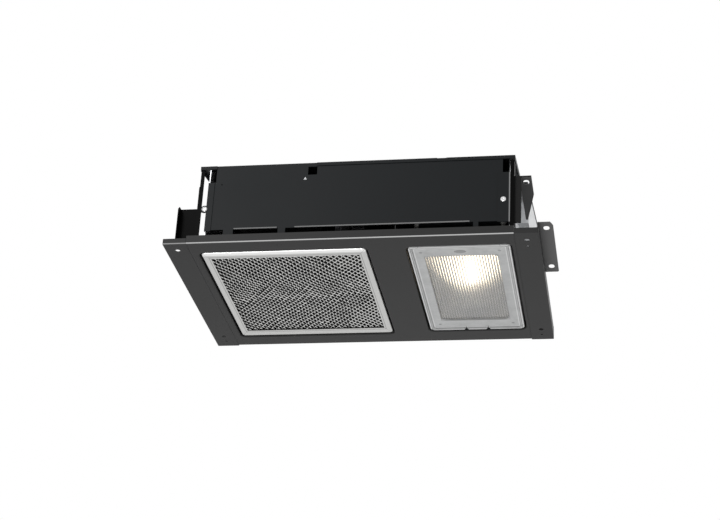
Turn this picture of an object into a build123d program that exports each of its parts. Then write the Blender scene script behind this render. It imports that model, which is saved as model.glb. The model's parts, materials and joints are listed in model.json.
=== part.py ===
from build123d import *
import os
from math import cos, radians, sin, tan

# ---------------------------------------------------------------------------
# Range hood insert: a face plate that carries a grease filter and a lamp lens,
# with the fan and lamp housing above it.  Millimetres, +Z up.  X runs along the
# face plate, Y runs from the front to the back.  The origin is the centre of
# the whole insert's footprint, on the underside of the face plate.
# ---------------------------------------------------------------------------

# Sheet metal
sheet = 1.0                 # painted steel of the plate, roof and brackets
wall_sheet = 0.8            # bare galvanised steel of the walls, pan and scroll
bend_radius = 1.6           # outside radius of the folded edges
seat_gap = 0.3              # between parts that seat but can be lifted out

# Face plate and its two side rails
plate_width = 520.7
plate_depth = 343.3
rail_width = 33.5
seam_gap = 0.3
lap_width = 3.0             # the rail's joggled tongue on top of the plate
rim_height = 12.0           # front fold of the plate
rear_rim_height = 20.0
rail_rim_height = 8.0       # front and left folds of the rails
right_fold_height = 16.4    # outer fold of the right rail
rail_overrun = 1.5          # the rails reach this far past the plate at the back
opening_lip_height = 12.0   # upturned lips round the two openings
fit_gap = 3.0               # black gap round the filter and the lens
corner_hole_inset = 17.0    # mounting holes through the rails, from the side
corner_hole_front = 21.5
corner_hole_back = 35.3
corner_hole_radius = 3.5
pilot_hole_radius = 1.8
pilot_hole_step = 18.0

# Grease filter
filter_thickness = 10.7
filter_recess = 1.0         # its face above the plate's underside
filter_from_left = 46.8
filter_from_front = 34.6
filter_from_back = 33.9
middle_web = 58.6           # between the filter and the lens
filter_side_border = 11.0
filter_end_border = 17.0
filter_corner = 5.0
filter_wall = 0.8
mesh_sheet = 0.6            # face layer of the core
mesh_thickness = 2.0        # the packed layers, pressed to solid metal
mesh_columns = 17
mesh_rows = 17
mesh_opening = 0.78         # share of the pitch that is open

# Lamp lens
lens_width = 141.1
lens_from_right = 41.0
lens_from_front = 34.6
lens_from_back = 39.1
lens_recess = 0.5
lens_thickness = 2.5
lens_rim_width = 5.0
lens_rim_drop = 1.4         # the rim stands below the flat border
lens_window_step = 2.0      # the ribbed window stands above the flat border
lens_border_side = 20.0
lens_border_end = 31.0
lens_corner = 7.0
lens_inner_corner = 4.2      # inside corner of the rim
lens_edge_round = 1.0
lens_skirt_height = 6.0
lens_rib_count = 27
lens_rib_height = 1.2
lens_rib_share = 0.9        # width of a rib, share of the pitch
boss_length = 17.0          # oval finger boss on the front border
boss_width = 10.0
boss_height = 0.9
hinge_tab_width = 27.0
hinge_notch = 5.0
hinge_rod_radius = 1.25
hinge_knuckle_radius = 2.9
hinge_rod_rise = 3.6        # axis above the plate's underside
hinge_rod_setback = 1.2     # axis in front of the lens's back edge
running_clearance = 0.05

# Spring leaves that hold the filter and the lens
leaf_thickness = 0.5
leaf_width = 16.0
leaf_window_margin = 1.5
leaf_foot = 19.0
filter_leaf_rise = 5.0      # nose of a leaf above its foot
lens_leaf_rise = 1.9
leaf_reach_gap = 0.2        # nose to the face it holds
rivet_radius = 1.2
rivet_head_radius = 2.0
rivet_spacing = 6.0

# Housing above the plate
housing_front = 4.0         # front face of the front wall, from the plate's front
housing_back = 7.3          # back face of the back wall, from the plate's back
front_height = 123.6        # top of the front wall above the plate's underside
roof_angle = 11.03          # the roof rises towards the back
left_post_inset = 43.7
right_post_inset = 32.5
post_face = 5.3             # visible width of the front flange of a post
post_return = 15.0          # depth of a post's side flange
left_wall_inset = 57.0      # outer face of the left corner strip
right_wall_inset = 38.9
strip_left_face = 9.0
strip_right_face = 16.8
strip_bottom = 20.0
strip_top = 97.0
roof_lip = 5.1              # front lip of the roof
roof_lip_gap_left = 23.8    # the front lip is left out between these two
roof_lip_gap_right = 167.3
roof_side_lip = 6.0
roof_tab_start = 118.0      # the roof's outward shelf over the wiring cover
notch_from_left = 380.0
notch_width = 13.0
notch_depth = 3.6

# Front wall details, from the plate's left edge and its underside
panel_bottom = 21.7
panel_edge_gap = 1.2
pocket_width = 7.5          # top corners of the panel that are cut away
pocket_height = 25.6
last_tab_from_right = 88.7
last_bead_margin = 278.7    # of the plate's width that the long bead leaves free
wall_tab_places = ((84.0, 14.0), (161.5, 10.5), (plate_width - last_tab_from_right, 7.0))
bead_places = ((99.0, 61.0), (185.0, plate_width - last_bead_margin))
bead_height = 2.0
bead_depth = 1.0
square_hole_side = 13.0
square_hole_from_left = 205.1
square_hole_height = 111.2
triangle_from_left = 195.0
triangle_height = 97.2
triangle_side = 5.0
dimple_from_left = 76.2
dimple_height = 93.6
screw_height = 54.6
left_screw_from_left = 54.8
right_screw_from_right = 48.2

# Left bracket
left_bracket_web = 27.0
left_bracket_height = 62.0
left_bracket_tall = 91.0
left_bracket_setback = 15.0
left_bracket_flange = 12.5
left_bracket_chamfer = 5.0

# Right ears
ear_reach = 18.7            # lower ear past the plate's right edge
ear_length = 148.0
ear_front = 2.5
ear_chamfer = 3.6
ear_chamfer_run = 10.0
slot_width = 8.0
slot_length = 12.5
slot_spacing = 114.3
slot_front = 19.6
slot_reach = 9.3            # slot centre past the plate's right edge
upper_ear_height = 92.0
upper_ear_out = 21.8        # past the right post
upper_ear_front = 8.0
upper_ear_straight = 52.0
upper_ear_length = 125.0
upper_ear_web = 8.3
upper_ear_strip = 3.0
upper_slot_front = 25.0
upper_slot_out = 13.8

# Fan
fan_from_left = 140.0       # middle of the wheel along X
scroll_width = 120.0
scroll_centre_front = 169.0
scroll_base_radius = 56.0
scroll_step = 12.0          # growth of the radius in each quarter turn
scroll_floor_gap = 6.0      # under the scroll, above the filter seat
tongue_angle = 45.0
tongue_nose = 5.5           # the outer skin's tongue starts this many degrees further on
throat_flare = 19.0         # the throat widens forwards up to the roof
inlet_radius = 37.0
inlet_lip = 4.0
scroll_flange = 8.0         # the scroll hangs from the roof by these
wheel_radius = 44.0
wheel_ring = 7.0
wheel_end_gap = 3.0
wheel_plate = 1.5
blade_count = 32
blade_thickness = 1.2
blade_angle = 35.0          # forward lean of the blades
hub_radius = 10.0
hub_length = 26.0
shaft_radius = 4.0
motor_radius = 40.0
motor_length = 54.0
motor_gap = 13.0            # air gap between the scroll and the motor
motor_cap_length = 9.0
bearing_boss_radius = 11.0
bearing_boss_length = 5.0
band_width = 14.0
band_thickness = 1.5
arm_width = 11.0
arm_count = 3
arm_foot = 10.0
cooling_slot_count = 18

# Duct collar and damper
duct_radius = 76.2          # outside of the 6 in collar
collar_flange = 12.0
collar_height = 20.05       # above the roof where it is highest under the flange
collar_seat = 20.0          # the duct slips over this much of the collar
collar_step = 1.2           # wider foot that stops the duct
collar_screw_count = 4
damper_drop = 13.0          # the damper's pin below the collar's top
damper_gap = 0.8
flap_thickness = 0.8
damper_pin_radius = 2.0
knuckle_wall = 0.9
knuckle_count = 6
knuckle_gap = 0.4
stop_bead = 2.6

# Lamp bay
pan_wall_inset = 6.4        # pan walls inside the lens opening
pan_height = 88.0
pan_corner = 8.0
seat_overlap = 3.0          # sheet flanges reach past the opening lips
filter_seat_overlap = 12.4
bulb_height = 50.0
bulb_radius = 30.0
bulb_length = 84.0
bulb_neck_radius = 13.5
cap_radius = 13.2
cap_length = 24.0
cap_lead = 1.5              # of the cap that shows in front of the socket
socket_radius = 19.0
socket_length = 32.0
socket_wall = 5.7
bulb_from_back = 116.2      # middle of the bulb's round, from the back of the lens
bracket_foot = 14.0
bracket_drop = 24.0         # the bracket reaches this far below the socket's axis
socket_boss = 6.0
bracket_width = 44.0

# Wiring compartment
partition_from_lens = 13.6
cover_out = 15.2            # wiring cover past the right wall
cover_front = 150.0
cover_back = 20.0
cover_bottom = 96.0
cover_flange = 9.0
knockout_radius = 11.1      # trade-size 1/2 in knockout
spare_knockout_radius = 14.0
spare_knockout_from_left = 180.6
spare_knockout_from_front = 68.0
grommet_radius = 8.0
grommet_bore = 4.0
grommet_height = 92.0
grommet_lip = 2.5
window_margin = 14.0

# Screws
screw_radius = 1.9
screw_head_radius = 4.1
screw_head_height = 2.0
small_screw_radius = 1.5
small_head_radius = 3.2
small_head_height = 1.6
screw_bite = 3.0            # thread showing past the sheets
head_flat = 0.45            # flat top of a pan head, share of its radius
head_round = 0.8            # radius of its rounded side, share of its radius
lobe_margin = 1.6           # metal round a screw head

# ---------------------------------------------------------------------------
# Places worked out from the sizes above
# ---------------------------------------------------------------------------
left = -(plate_width + ear_reach) / 2
right = left + plate_width
front = -plate_depth / 2
back = front + plate_depth

seam_left = left + rail_width
seam_right = right - rail_width
plate_back = back - rail_overrun

filter_width = plate_width - filter_from_left - middle_web - lens_width - lens_from_right
filter_depth = plate_depth - filter_from_front - filter_from_back
lens_depth = plate_depth - lens_from_front - lens_from_back

filter_left = left + filter_from_left
filter_right = filter_left + filter_width
filter_front = front + filter_from_front
filter_back = filter_front + filter_depth
filter_mid_x = (filter_left + filter_right) / 2
filter_mid_y = (filter_front + filter_back) / 2

lens_right = right - lens_from_right
lens_left = lens_right - lens_width
lens_front = front + lens_from_front
lens_back = lens_front + lens_depth
lens_mid_x = (lens_left + lens_right) / 2
lens_mid_y = (lens_front + lens_back) / 2

wall_y = front + housing_front
rear_y = back - housing_back
post_left = left + left_post_inset
post_right = right - right_post_inset
strip_left = left + left_wall_inset
strip_right = right - right_wall_inset
wall_left = strip_left + sheet
wall_right = strip_right - sheet
partition_x = lens_left - partition_from_lens
panel_left = wall_left + wall_sheet + panel_edge_gap
panel_right = wall_right - wall_sheet - panel_edge_gap
panel_top = front_height - sheet
seat_bottom = opening_lip_height
seat_top = seat_bottom + wall_sheet
roof_slope = tan(radians(roof_angle))
roof_rise = sheet / cos(radians(roof_angle))


def roof_under(y):
    """Height of the roof's underside above a place y."""
    return panel_top + roof_slope * (y - wall_y)


def roof_over(y):
    """Height of the roof's upper face above a place y."""
    return roof_under(y) + roof_rise


def slab(x, y, z, mode=Mode.ADD):
    """A block between two limits on each axis."""
    with Locations(((x[0] + x[1]) / 2, (y[0] + y[1]) / 2, (z[0] + z[1]) / 2)):
        Box(x[1] - x[0], y[1] - y[0], z[1] - z[0], mode=mode)


def side_profile(points, x_from, x_to):
    """A sheet or block with a side outline of (y, z) points, between two x."""
    with BuildPart() as piece:
        with BuildSketch(Plane.YZ.offset(x_from)):
            with BuildLine():
                Polyline(*points, close=True)
            make_face()
        extrude(amount=x_to - x_from)
    return piece.part


def save(piece, label):
    """Write one finished piece under its own name."""
    piece.label = label
    export_step(piece, f"parts/{label}.step")


def screws(label, places, axis, shank, head, head_height, grip):
    """Pan-head screws, heads seated at the given places, heads facing along the axis."""
    across = Vector(0, 0, 1) if abs(axis[2]) < 0.5 else Vector(1, 0, 0)
    with BuildPart() as group:
        for place in places:
            with BuildSketch(Plane(origin=place, x_dir=across, z_dir=across.cross(Vector(*axis)))):
                with BuildLine():
                    Line((0, -grip), (0, head_height))
                    Line((0, head_height), (head * head_flat, head_height))
                    RadiusArc((head * head_flat, head_height), (head, 0), head * head_round)
                    Line((head, 0), (shank, 0))
                    Line((shank, 0), (shank, -grip))
                    Line((shank, -grip), (0, -grip))
                make_face()
            revolve(axis=Axis(place, axis))
    save(group.part, label)


def drill(places, axis, radius, depth):
    """Cut round holes in the piece being built, half the depth each side of each place."""
    for place in places:
        with Locations(Plane(origin=place, z_dir=axis)):
            Cylinder(radius, depth, mode=Mode.SUBTRACT)


def round_rectangle(plane, x, y, corner):
    """A rounded rectangle between two x and two y, drawn on a level plane."""
    with BuildSketch(plane) as outline:
        with Locations(((x[0] + x[1]) / 2, (y[0] + y[1]) / 2)):
            RectangleRounded(x[1] - x[0], y[1] - y[0], corner)
    return outline.sketch


os.makedirs("parts", exist_ok=True)

# The corner holes of the rails, and the screws that the sheets share
corner_holes = [
    (x, y, 0)
    for x in (left + corner_hole_inset, right - corner_hole_inset)
    for y in (front + corner_hole_front, back - corner_hole_back)
]
left_screw = (left + left_screw_from_left, wall_y - sheet, screw_height)
right_screw = (right - right_screw_from_right, wall_y - sheet, screw_height)
through = screw_radius + running_clearance
small_through = small_screw_radius + running_clearance

# ---------------------------------------------------------------------------
# Face plate with its two openings
# ---------------------------------------------------------------------------
filter_open_x = (filter_left - fit_gap, filter_right + fit_gap)
filter_open_y = (filter_front - fit_gap, filter_back + fit_gap)
lens_open_x = (lens_left - fit_gap, lens_right + fit_gap)
lens_open_y = (lens_front - fit_gap, lens_back + fit_gap)
leaf_places = (
    (filter_mid_x, filter_front, filter_leaf_rise),
    (lens_mid_x, lens_front, lens_leaf_rise),
)
rivets = [
    (x + side * rivet_spacing / 2, front + leaf_foot - rivet_spacing, 0)
    for x, _, _ in leaf_places
    for side in (-1, 1)
]


def grown(limits, amount):
    """A pair of limits moved apart by an amount at each end."""
    return (limits[0] - amount, limits[1] + amount)


with BuildPart() as face_plate:
    slab((seam_left, seam_right), (front, plate_back), (0, sheet))
    slab((seam_left, seam_right), (front, front + sheet), (0, rim_height))
    slab((seam_left, seam_right), (plate_back - sheet, plate_back), (0, rear_rim_height))
    for open_x, open_y, corner in (
        (filter_open_x, filter_open_y, filter_corner + fit_gap),
        (lens_open_x, lens_open_y, lens_corner + fit_gap),
    ):
        lip = round_rectangle(Plane.XY, grown(open_x, sheet), grown(open_y, sheet), corner + sheet)
        extrude(lip, amount=opening_lip_height)
    for open_x, open_y, corner in (
        (filter_open_x, filter_open_y, filter_corner + fit_gap),
        (lens_open_x, lens_open_y, lens_corner + fit_gap),
    ):
        hole = round_rectangle(Plane.XY, open_x, open_y, corner)
        extrude(hole, amount=opening_lip_height, mode=Mode.SUBTRACT)
    lowest = edges().group_by(Axis.Z)[0]
    fold = lowest.filter_by(Axis.X).sort_by(Axis.Y)
    inner = [edge for edge in lowest if front + sheet < edge.center().Y < plate_back - sheet]
    inner = [edge for edge in inner if seam_left + sheet < edge.center().X < seam_right - sheet]
    fillet([fold[0], fold[-1]] + inner, bend_radius)
    for x, y, rise in leaf_places:
        slab(
            (x - leaf_width / 2 - leaf_window_margin, x + leaf_width / 2 + leaf_window_margin),
            (y - fit_gap - 2 * sheet, y - fit_gap + sheet),
            (sheet + rise - leaf_window_margin, sheet + rise + leaf_window_margin + leaf_thickness),
            Mode.SUBTRACT,
        )
    drill(rivets, (0, 0, 1), rivet_radius, 2 * sheet)
save(face_plate.part, "face_plate")

# Flush rivets that hold the spring leaves; they show as small dots from below
with BuildPart() as leaf_rivets:
    for x, y, z in rivets:
        with BuildSketch(Plane.XY.offset(0)):
            with Locations((x, y)):
                Circle(rivet_radius)
        extrude(amount=sheet + leaf_thickness)
        with BuildSketch(Plane.XY.offset(sheet + leaf_thickness)):
            with Locations((x, y)):
                Circle(rivet_head_radius)
        extrude(amount=leaf_thickness)
save(leaf_rivets.part, "leaf_rivets")


def spring_leaf(label, x, face_y, rise):
    """A spring leaf: foot on the plate, a step, and a nose through the opening's lip."""
    nose = face_y - leaf_reach_gap
    low = sheet
    high = sheet + rise
    foot_start = wall_y + 2 * sheet
    step = front + leaf_foot
    with BuildPart() as leaf:
        with BuildSketch(Plane.YZ.offset(x - leaf_width / 2)):
            with BuildLine():
                Polyline(
                    (foot_start, low),
                    (step + leaf_thickness, low),
                    (step + rise, high),
                    (nose, high),
                    (nose, high + leaf_thickness),
                    (step + rise - leaf_thickness / 2, high + leaf_thickness),
                    (step, low + leaf_thickness),
                    (foot_start, low + leaf_thickness),
                    close=True,
                )
            make_face()
        extrude(amount=leaf_width)
        drill(rivets, (0, 0, 1), rivet_radius, 4 * sheet)
    save(leaf.part, label)


for leaf_name, leaf_place in zip(("filter_spring", "lens_catch_spring"), leaf_places):
    spring_leaf(leaf_name, *leaf_place)


# ---------------------------------------------------------------------------
# Side rails: they finish the plate's ends and lap onto its upper side
# ---------------------------------------------------------------------------
def side_rail(label, outer, seam, fold_height):
    """One rail, from its outer fold to the joggled lap past the seam."""
    inward = 1 if seam > outer else -1
    seam_face = seam - inward * seam_gap
    lap_end = seam + inward * lap_width
    with BuildPart() as rail:
        slab(sorted((outer, seam_face)), (front, back), (0, sheet))
        slab(sorted((seam_face - 2 * inward * sheet, lap_end)), (front + 2 * sheet, plate_back - 2 * sheet),
             (sheet, 2 * sheet))
        slab(sorted((outer, outer + inward * sheet)), (front, back), (0, fold_height))
        slab(sorted((outer, seam_face)), (front, front + sheet), (0, rail_rim_height))
        slab(sorted((outer, seam_face)), (back - sheet, back), (0, rear_rim_height))
        corners = edges().filter_by(Axis.Z).group_by(Axis.X)[0 if inward > 0 else -1]
        ends = [corners.sort_by(Axis.Y)[0], corners.sort_by(Axis.Y)[-1]]
        fillet(ends, bend_radius)
        drill(corner_holes, (0, 0, 1), corner_hole_radius, 2 * sheet)
        pilots = [(x, y + pilot_hole_step, 0) for x, y, _ in corner_holes if max(x, y) > 0]
        drill(pilots, (0, 0, 1), pilot_hole_radius, 2 * sheet)
    save(rail.part, label)


side_rail("left_rail", left, seam_left, rail_rim_height)
side_rail("right_rail", right, seam_right, right_fold_height)

# ---------------------------------------------------------------------------
# Front wall: a notched panel on three feet behind the plate's front fold
# ---------------------------------------------------------------------------
with BuildPart() as front_wall:
    slab((panel_left, panel_right), (wall_y, wall_y + sheet), (panel_bottom, panel_top))
    for x in (panel_left, panel_right - pocket_width):
        slab((x, x + pocket_width), (wall_y, wall_y + sheet), (panel_top - pocket_height, panel_top),
             Mode.SUBTRACT)
    low_corners = edges().filter_by(Axis.Y).group_by(Axis.Z)[0]
    fillet(low_corners, 2 * bend_radius)
    for start, width in wall_tab_places:
        slab((left + start, left + start + width), (wall_y, wall_y + sheet),
             (sheet, panel_bottom + bead_height))
    for start, length in bead_places:
        with BuildSketch(Plane.YZ.offset(left + start)):
            with Locations((wall_y, panel_bottom + bead_height / 2)):
                Ellipse(bead_depth, bead_height / 2)
        extrude(amount=length)
    slab(
        (left + square_hole_from_left - square_hole_side / 2,
         left + square_hole_from_left + square_hole_side / 2),
        (wall_y - sheet, wall_y + 2 * sheet),
        (square_hole_height - square_hole_side / 2, square_hole_height + square_hole_side / 2),
        Mode.SUBTRACT,
    )
    with BuildSketch(Plane.XZ.offset(-wall_y - 2 * sheet)):
        with BuildLine():
            Polyline(
                (left + triangle_from_left - triangle_side / 2, triangle_height),
                (left + triangle_from_left + triangle_side / 2, triangle_height),
                (left + triangle_from_left, triangle_height + triangle_side),
                close=True,
            )
        make_face()
    extrude(amount=4 * sheet, mode=Mode.SUBTRACT)
    drill([(left + dimple_from_left, wall_y, dimple_height)], (0, 1, 0), sheet, 2 * sheet)
    drill([right_screw], (0, 1, 0), through, 6 * sheet)
save(front_wall.part, "front_wall")


def corner_strip(label, wall_face, side, face, screw_place):
    """An angle strip that ties a side wall to the front wall, with a lobe for its screw."""
    with BuildPart() as strip:
        slab(sorted((wall_face, wall_face + side * face)), (wall_y - sheet, wall_y),
             (strip_bottom, strip_top))
        slab(sorted((wall_face, wall_face + side * sheet)), (wall_y - sheet, wall_y + post_return),
             (strip_bottom, strip_top))
        with Locations(Plane(origin=(screw_place[0], wall_y - sheet / 2, screw_height), z_dir=(0, 1, 0))):
            Cylinder(screw_head_radius + lobe_margin, sheet)
        drill([screw_place], (0, 1, 0), through, 6 * sheet)
    save(strip.part, label)


corner_strip("left_corner_strip", strip_left, 1, strip_left_face, left_screw)
corner_strip("right_corner_strip", strip_right, -1, strip_right_face, right_screw)


def corner_post(label, outer, side, foot, lobe_reach):
    """A narrow angle post at an end of the front, standing on the rail."""
    top = roof_under(wall_y) - roof_side_lip
    inner_face = outer + side * sheet
    with BuildPart() as post:
        slab(sorted((inner_face, outer + side * (sheet + post_face))), (wall_y, wall_y + sheet),
             (foot, top))
        slab(sorted((inner_face, inner_face + side * sheet)), (wall_y, wall_y + post_return), (foot, top))
        if lobe_reach is not None:
            slab(sorted((inner_face, lobe_reach)), (wall_y, wall_y + sheet),
                 (screw_height - screw_head_radius, screw_height + screw_head_radius))
            drill([left_screw], (0, 1, 0), through, 6 * sheet)
    save(post.part, label)


corner_post("left_post", post_left, 1, sheet, strip_left - running_clearance)
corner_post("right_post", post_right, -1, 2 * sheet, None)

screws("front_screws", [left_screw, right_screw], (0, -1, 0), screw_radius, screw_head_radius,
       screw_head_height, 2 * sheet + screw_bite)

# ---------------------------------------------------------------------------
# Side walls, back wall, partition and roof
# ---------------------------------------------------------------------------
wall_back = rear_y - wall_sheet
leg_front = filter_open_y[0] - 2 * sheet - seat_overlap - seat_gap
filter_leg_back = filter_open_y[1] + sheet + seat_overlap + seat_gap
lens_leg_back = lens_open_y[1] + sheet + seat_overlap + seat_gap


def side_outline(y_from, leg_back):
    """Side outline of a wall: it steps over a sheet flange and stands on two legs."""
    return (
        (y_from, sheet),
        (leg_front, sheet),
        (leg_front, seat_top),
        (leg_back, seat_top),
        (leg_back, sheet),
        (wall_back, sheet),
        (wall_back, roof_under(wall_back)),
        (y_from, roof_under(y_from)),
    )


save(side_profile(side_outline(wall_y, filter_leg_back), wall_left, wall_left + wall_sheet), "left_wall")

grommet_place = (partition_x + wall_sheet / 2, front + cover_front, grommet_height)
with BuildPart() as partition:
    add(side_profile(
        (
            (wall_y + sheet, sheet),
            (wall_back, sheet),
            (wall_back, roof_under(wall_back)),
            (wall_y + sheet, roof_under(wall_y + sheet)),
        ),
        partition_x, partition_x + wall_sheet,
    ))
    drill([grommet_place], (1, 0, 0), grommet_radius, 4 * wall_sheet)
save(partition.part, "partition")

# The right wall has a window into the wiring compartment
cover_y = (front + cover_front, back - cover_back)
cover_screws = [
    (wall_right + wall_sheet, cover_y[0] - cover_flange / 2, cover_bottom + window_margin),
    (wall_right + wall_sheet, cover_y[0] + window_margin, cover_bottom - cover_flange / 2),
    (wall_right + wall_sheet, cover_y[1] - window_margin, cover_bottom - cover_flange / 2),
]
with BuildPart() as right_wall:
    add(side_profile(side_outline(wall_y, lens_leg_back), wall_right - wall_sheet, wall_right))
    slab(
        (wall_right - 2 * wall_sheet, wall_right + wall_sheet),
        (cover_y[0] + window_margin, cover_y[1] - window_margin),
        (cover_bottom + window_margin, roof_under(cover_y[0] + window_margin) - window_margin),
        Mode.SUBTRACT,
    )
    drill(cover_screws, (1, 0, 0), small_through, 8 * wall_sheet)
save(right_wall.part, "right_wall")

save(side_profile(
    (
        (wall_back, sheet),
        (rear_y, sheet),
        (rear_y, roof_under(rear_y)),
        (wall_back, roof_under(wall_back)),
    ),
    wall_left, wall_right,
), "back_wall")

# Fan outlet through the roof
fan_x = left + fan_from_left
scroll_x = (fan_x - scroll_width / 2, fan_x + scroll_width / 2)
c1 = (front + scroll_centre_front, seat_top + scroll_floor_gap + scroll_base_radius + scroll_step)
c2 = (c1[0] + scroll_step, c1[1])
c3 = (c2[0], c1[1] + scroll_step)
r1 = scroll_base_radius
r2 = r1 + scroll_step
r3 = r2 + scroll_step
axis_y = c1[0] + scroll_step / 2
axis_z = c1[1] + scroll_step / 2
tongue = (c1[0] + r1 * cos(radians(tongue_angle)), c1[1] + r1 * sin(radians(tongue_angle)))
throat_back = c3[0] + r3
throat_front = tongue[0] - throat_flare
duct_y = (throat_front + throat_back) / 2

collar_screw_ring = duct_radius + collar_flange / 2
roof_knockouts = [
    (left + spare_knockout_from_left, front + spare_knockout_from_front, spare_knockout_radius),
]


def collar_screws():
    """Places of the screws that hold the collar's flange to the sloping roof."""
    places = []
    for turn in range(collar_screw_count):
        angle = radians(45 + turn * 360 / collar_screw_count)
        x = fan_x + collar_screw_ring * cos(angle)
        y = duct_y + collar_screw_ring * sin(angle)
        places.append((x, y, roof_over(y) + roof_rise))
    return places


roof_normal = (0, -roof_slope, 1)
roof_end = rear_y + 2 * sheet
with BuildPart() as roof:
    with BuildSketch(Plane.YZ.offset(post_left)):
        with BuildLine():
            Polyline(
                (wall_y, roof_under(wall_y)),
                (roof_end, roof_under(roof_end)),
                (roof_end, roof_over(roof_end)),
                (wall_y, roof_over(wall_y)),
                close=True,
            )
        make_face()
    extrude(amount=post_right - post_left)
    shelf_y = front + roof_tab_start
    with BuildSketch(Plane.YZ.offset(post_right)):
        with BuildLine():
            Polyline(
                (shelf_y, roof_under(shelf_y)),
                (roof_end, roof_under(roof_end)),
                (roof_end, roof_over(roof_end)),
                (shelf_y, roof_over(shelf_y)),
                close=True,
            )
        make_face()
    extrude(amount=strip_right + cover_out - post_right)
    for x in (post_left, post_right - sheet):
        lip_end = roof_end if x == post_left else shelf_y
        with BuildSketch(Plane.YZ.offset(x)):
            with BuildLine():
                Polyline(
                    (wall_y, roof_under(wall_y) - roof_side_lip),
                    (lip_end, roof_under(lip_end) - roof_side_lip),
                    (lip_end, roof_under(lip_end)),
                    (wall_y, roof_under(wall_y)),
                    close=True,
                )
            make_face()
        extrude(amount=sheet)
    for x_from, x_to in (
        (post_left, post_left + roof_lip_gap_left),
        (post_left + roof_lip_gap_right, post_right),
    ):
        slab((x_from, x_to), (wall_y - sheet, wall_y), (front_height - roof_lip, front_height))
    slab((left + notch_from_left, left + notch_from_left + notch_width),
         (wall_y - 2 * sheet, wall_y), (front_height - notch_depth, front_height + sheet), Mode.SUBTRACT)
    slab(scroll_x, (throat_front, throat_back),
         (roof_under(throat_front) - sheet, roof_over(throat_back) + sheet), Mode.SUBTRACT)
    for x, y, radius in roof_knockouts:
        drill([(x, y, roof_over(y))], (0, 0, 1), radius, 8 * sheet)
    drill(collar_screws(), roof_normal, small_through, 12 * sheet)
save(roof.part, "roof")

# ---------------------------------------------------------------------------
# Sheet seats on the opening lips: a ring over the filter, a pan over the lens
# ---------------------------------------------------------------------------
seat_plane = Plane.XY.offset(seat_bottom)
with BuildPart() as filter_seat:
    ring = round_rectangle(seat_plane, grown(filter_open_x, sheet + seat_overlap),
                           grown(filter_open_y, sheet + seat_overlap), filter_corner)
    extrude(ring, amount=wall_sheet)
    inner = round_rectangle(seat_plane, grown((filter_left, filter_right), -filter_seat_overlap),
                            grown((filter_front, filter_back), -filter_seat_overlap), filter_corner)
    extrude(inner, amount=wall_sheet, mode=Mode.SUBTRACT)
save(filter_seat.part, "filter_seat")

pan_x = grown((lens_left, lens_right), -pan_wall_inset)
pan_y = grown((lens_front, lens_back), -pan_wall_inset)
lamp_y = lens_back - bulb_from_back
socket_y = lamp_y + bulb_length - bulb_radius
bracket_y = socket_y + cap_lead + socket_length
pan_screws = [
    (lens_mid_x + side * bracket_width / 4, bracket_y + bracket_foot / 2, pan_height)
    for side in (-1, 1)
]
wire_hole = (pan_x[0] + wall_sheet / 2, front + cover_front, pan_height - 3 * pan_corner)
pan_flange_x = grown(lens_open_x, sheet + seat_gap)
pan_flange_y = grown(lens_open_y, sheet + seat_overlap)
with BuildPart() as lamp_pan:
    box = round_rectangle(seat_plane, pan_x, pan_y, pan_corner)
    extrude(box, amount=pan_height - seat_bottom)
    fillet(faces().sort_by(Axis.Z)[-1].edges(), pan_corner - wall_sheet)
    offset(amount=-wall_sheet, openings=faces().sort_by(Axis.Z)[0])
    with BuildSketch(seat_plane):
        with Locations((lens_mid_x, lens_mid_y)):
            RectangleRounded(pan_flange_x[1] - pan_flange_x[0], pan_flange_y[1] - pan_flange_y[0],
                             lens_corner)
            RectangleRounded(pan_x[1] - pan_x[0], pan_y[1] - pan_y[0], pan_corner, mode=Mode.SUBTRACT)
    extrude(amount=wall_sheet)
    drill([wire_hole], (1, 0, 0), grommet_radius, 4 * wall_sheet)
    drill(pan_screws, (0, 0, 1), small_through, 8 * wall_sheet)
save(lamp_pan.part, "lamp_pan")

# ---------------------------------------------------------------------------
# Brackets and ears that fasten the insert inside the hood
# ---------------------------------------------------------------------------
bracket_left = post_left - left_bracket_web
bracket_y_face = front + left_bracket_setback
with BuildPart() as left_bracket:
    slab((bracket_left, post_left + sheet), (bracket_y_face, bracket_y_face + sheet),
         (2 * sheet, left_bracket_height))
    slab((bracket_left, bracket_left + sheet), (bracket_y_face - left_bracket_flange, bracket_y_face),
         (2 * sheet, left_bracket_height))
    slab((post_left, post_left + sheet), (wall_y, bracket_y_face + sheet), (2 * sheet, left_bracket_tall))
    top_corner = edges().filter_by(Axis.X).group_by(Axis.Y)[0].sort_by(Axis.Z)[-1]
    chamfer(top_corner, left_bracket_chamfer)
save(left_bracket.part, "left_bracket")

lower_slots = [
    (right + slot_reach, front + slot_front + step * slot_spacing, right_fold_height)
    for step in (0, 1)
]
with BuildPart() as lower_ear:
    ear_level = Plane.XY.offset(right_fold_height)
    with BuildSketch(ear_level):
        with BuildLine():
            Polyline(
                (right - 2 * sheet, front + ear_front),
                (right + ear_reach - ear_chamfer, front + ear_front),
                (right + ear_reach, front + ear_front + ear_chamfer_run),
                (right + ear_reach, front + ear_front + ear_length - bend_radius),
                (right + ear_reach - bend_radius, front + ear_front + ear_length),
                (right - 2 * sheet, front + ear_front + ear_length),
                close=True,
            )
        make_face()
        with Locations(*[(x, y) for x, y, _ in lower_slots]):
            SlotOverall(slot_length, slot_width, rotation=90, mode=Mode.SUBTRACT)
    extrude(amount=sheet)
    slab((right - 2 * sheet, right - sheet), (front + ear_front, front + ear_front + ear_length),
         (sheet, right_fold_height))
save(lower_ear.part, "lower_ear")

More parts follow.
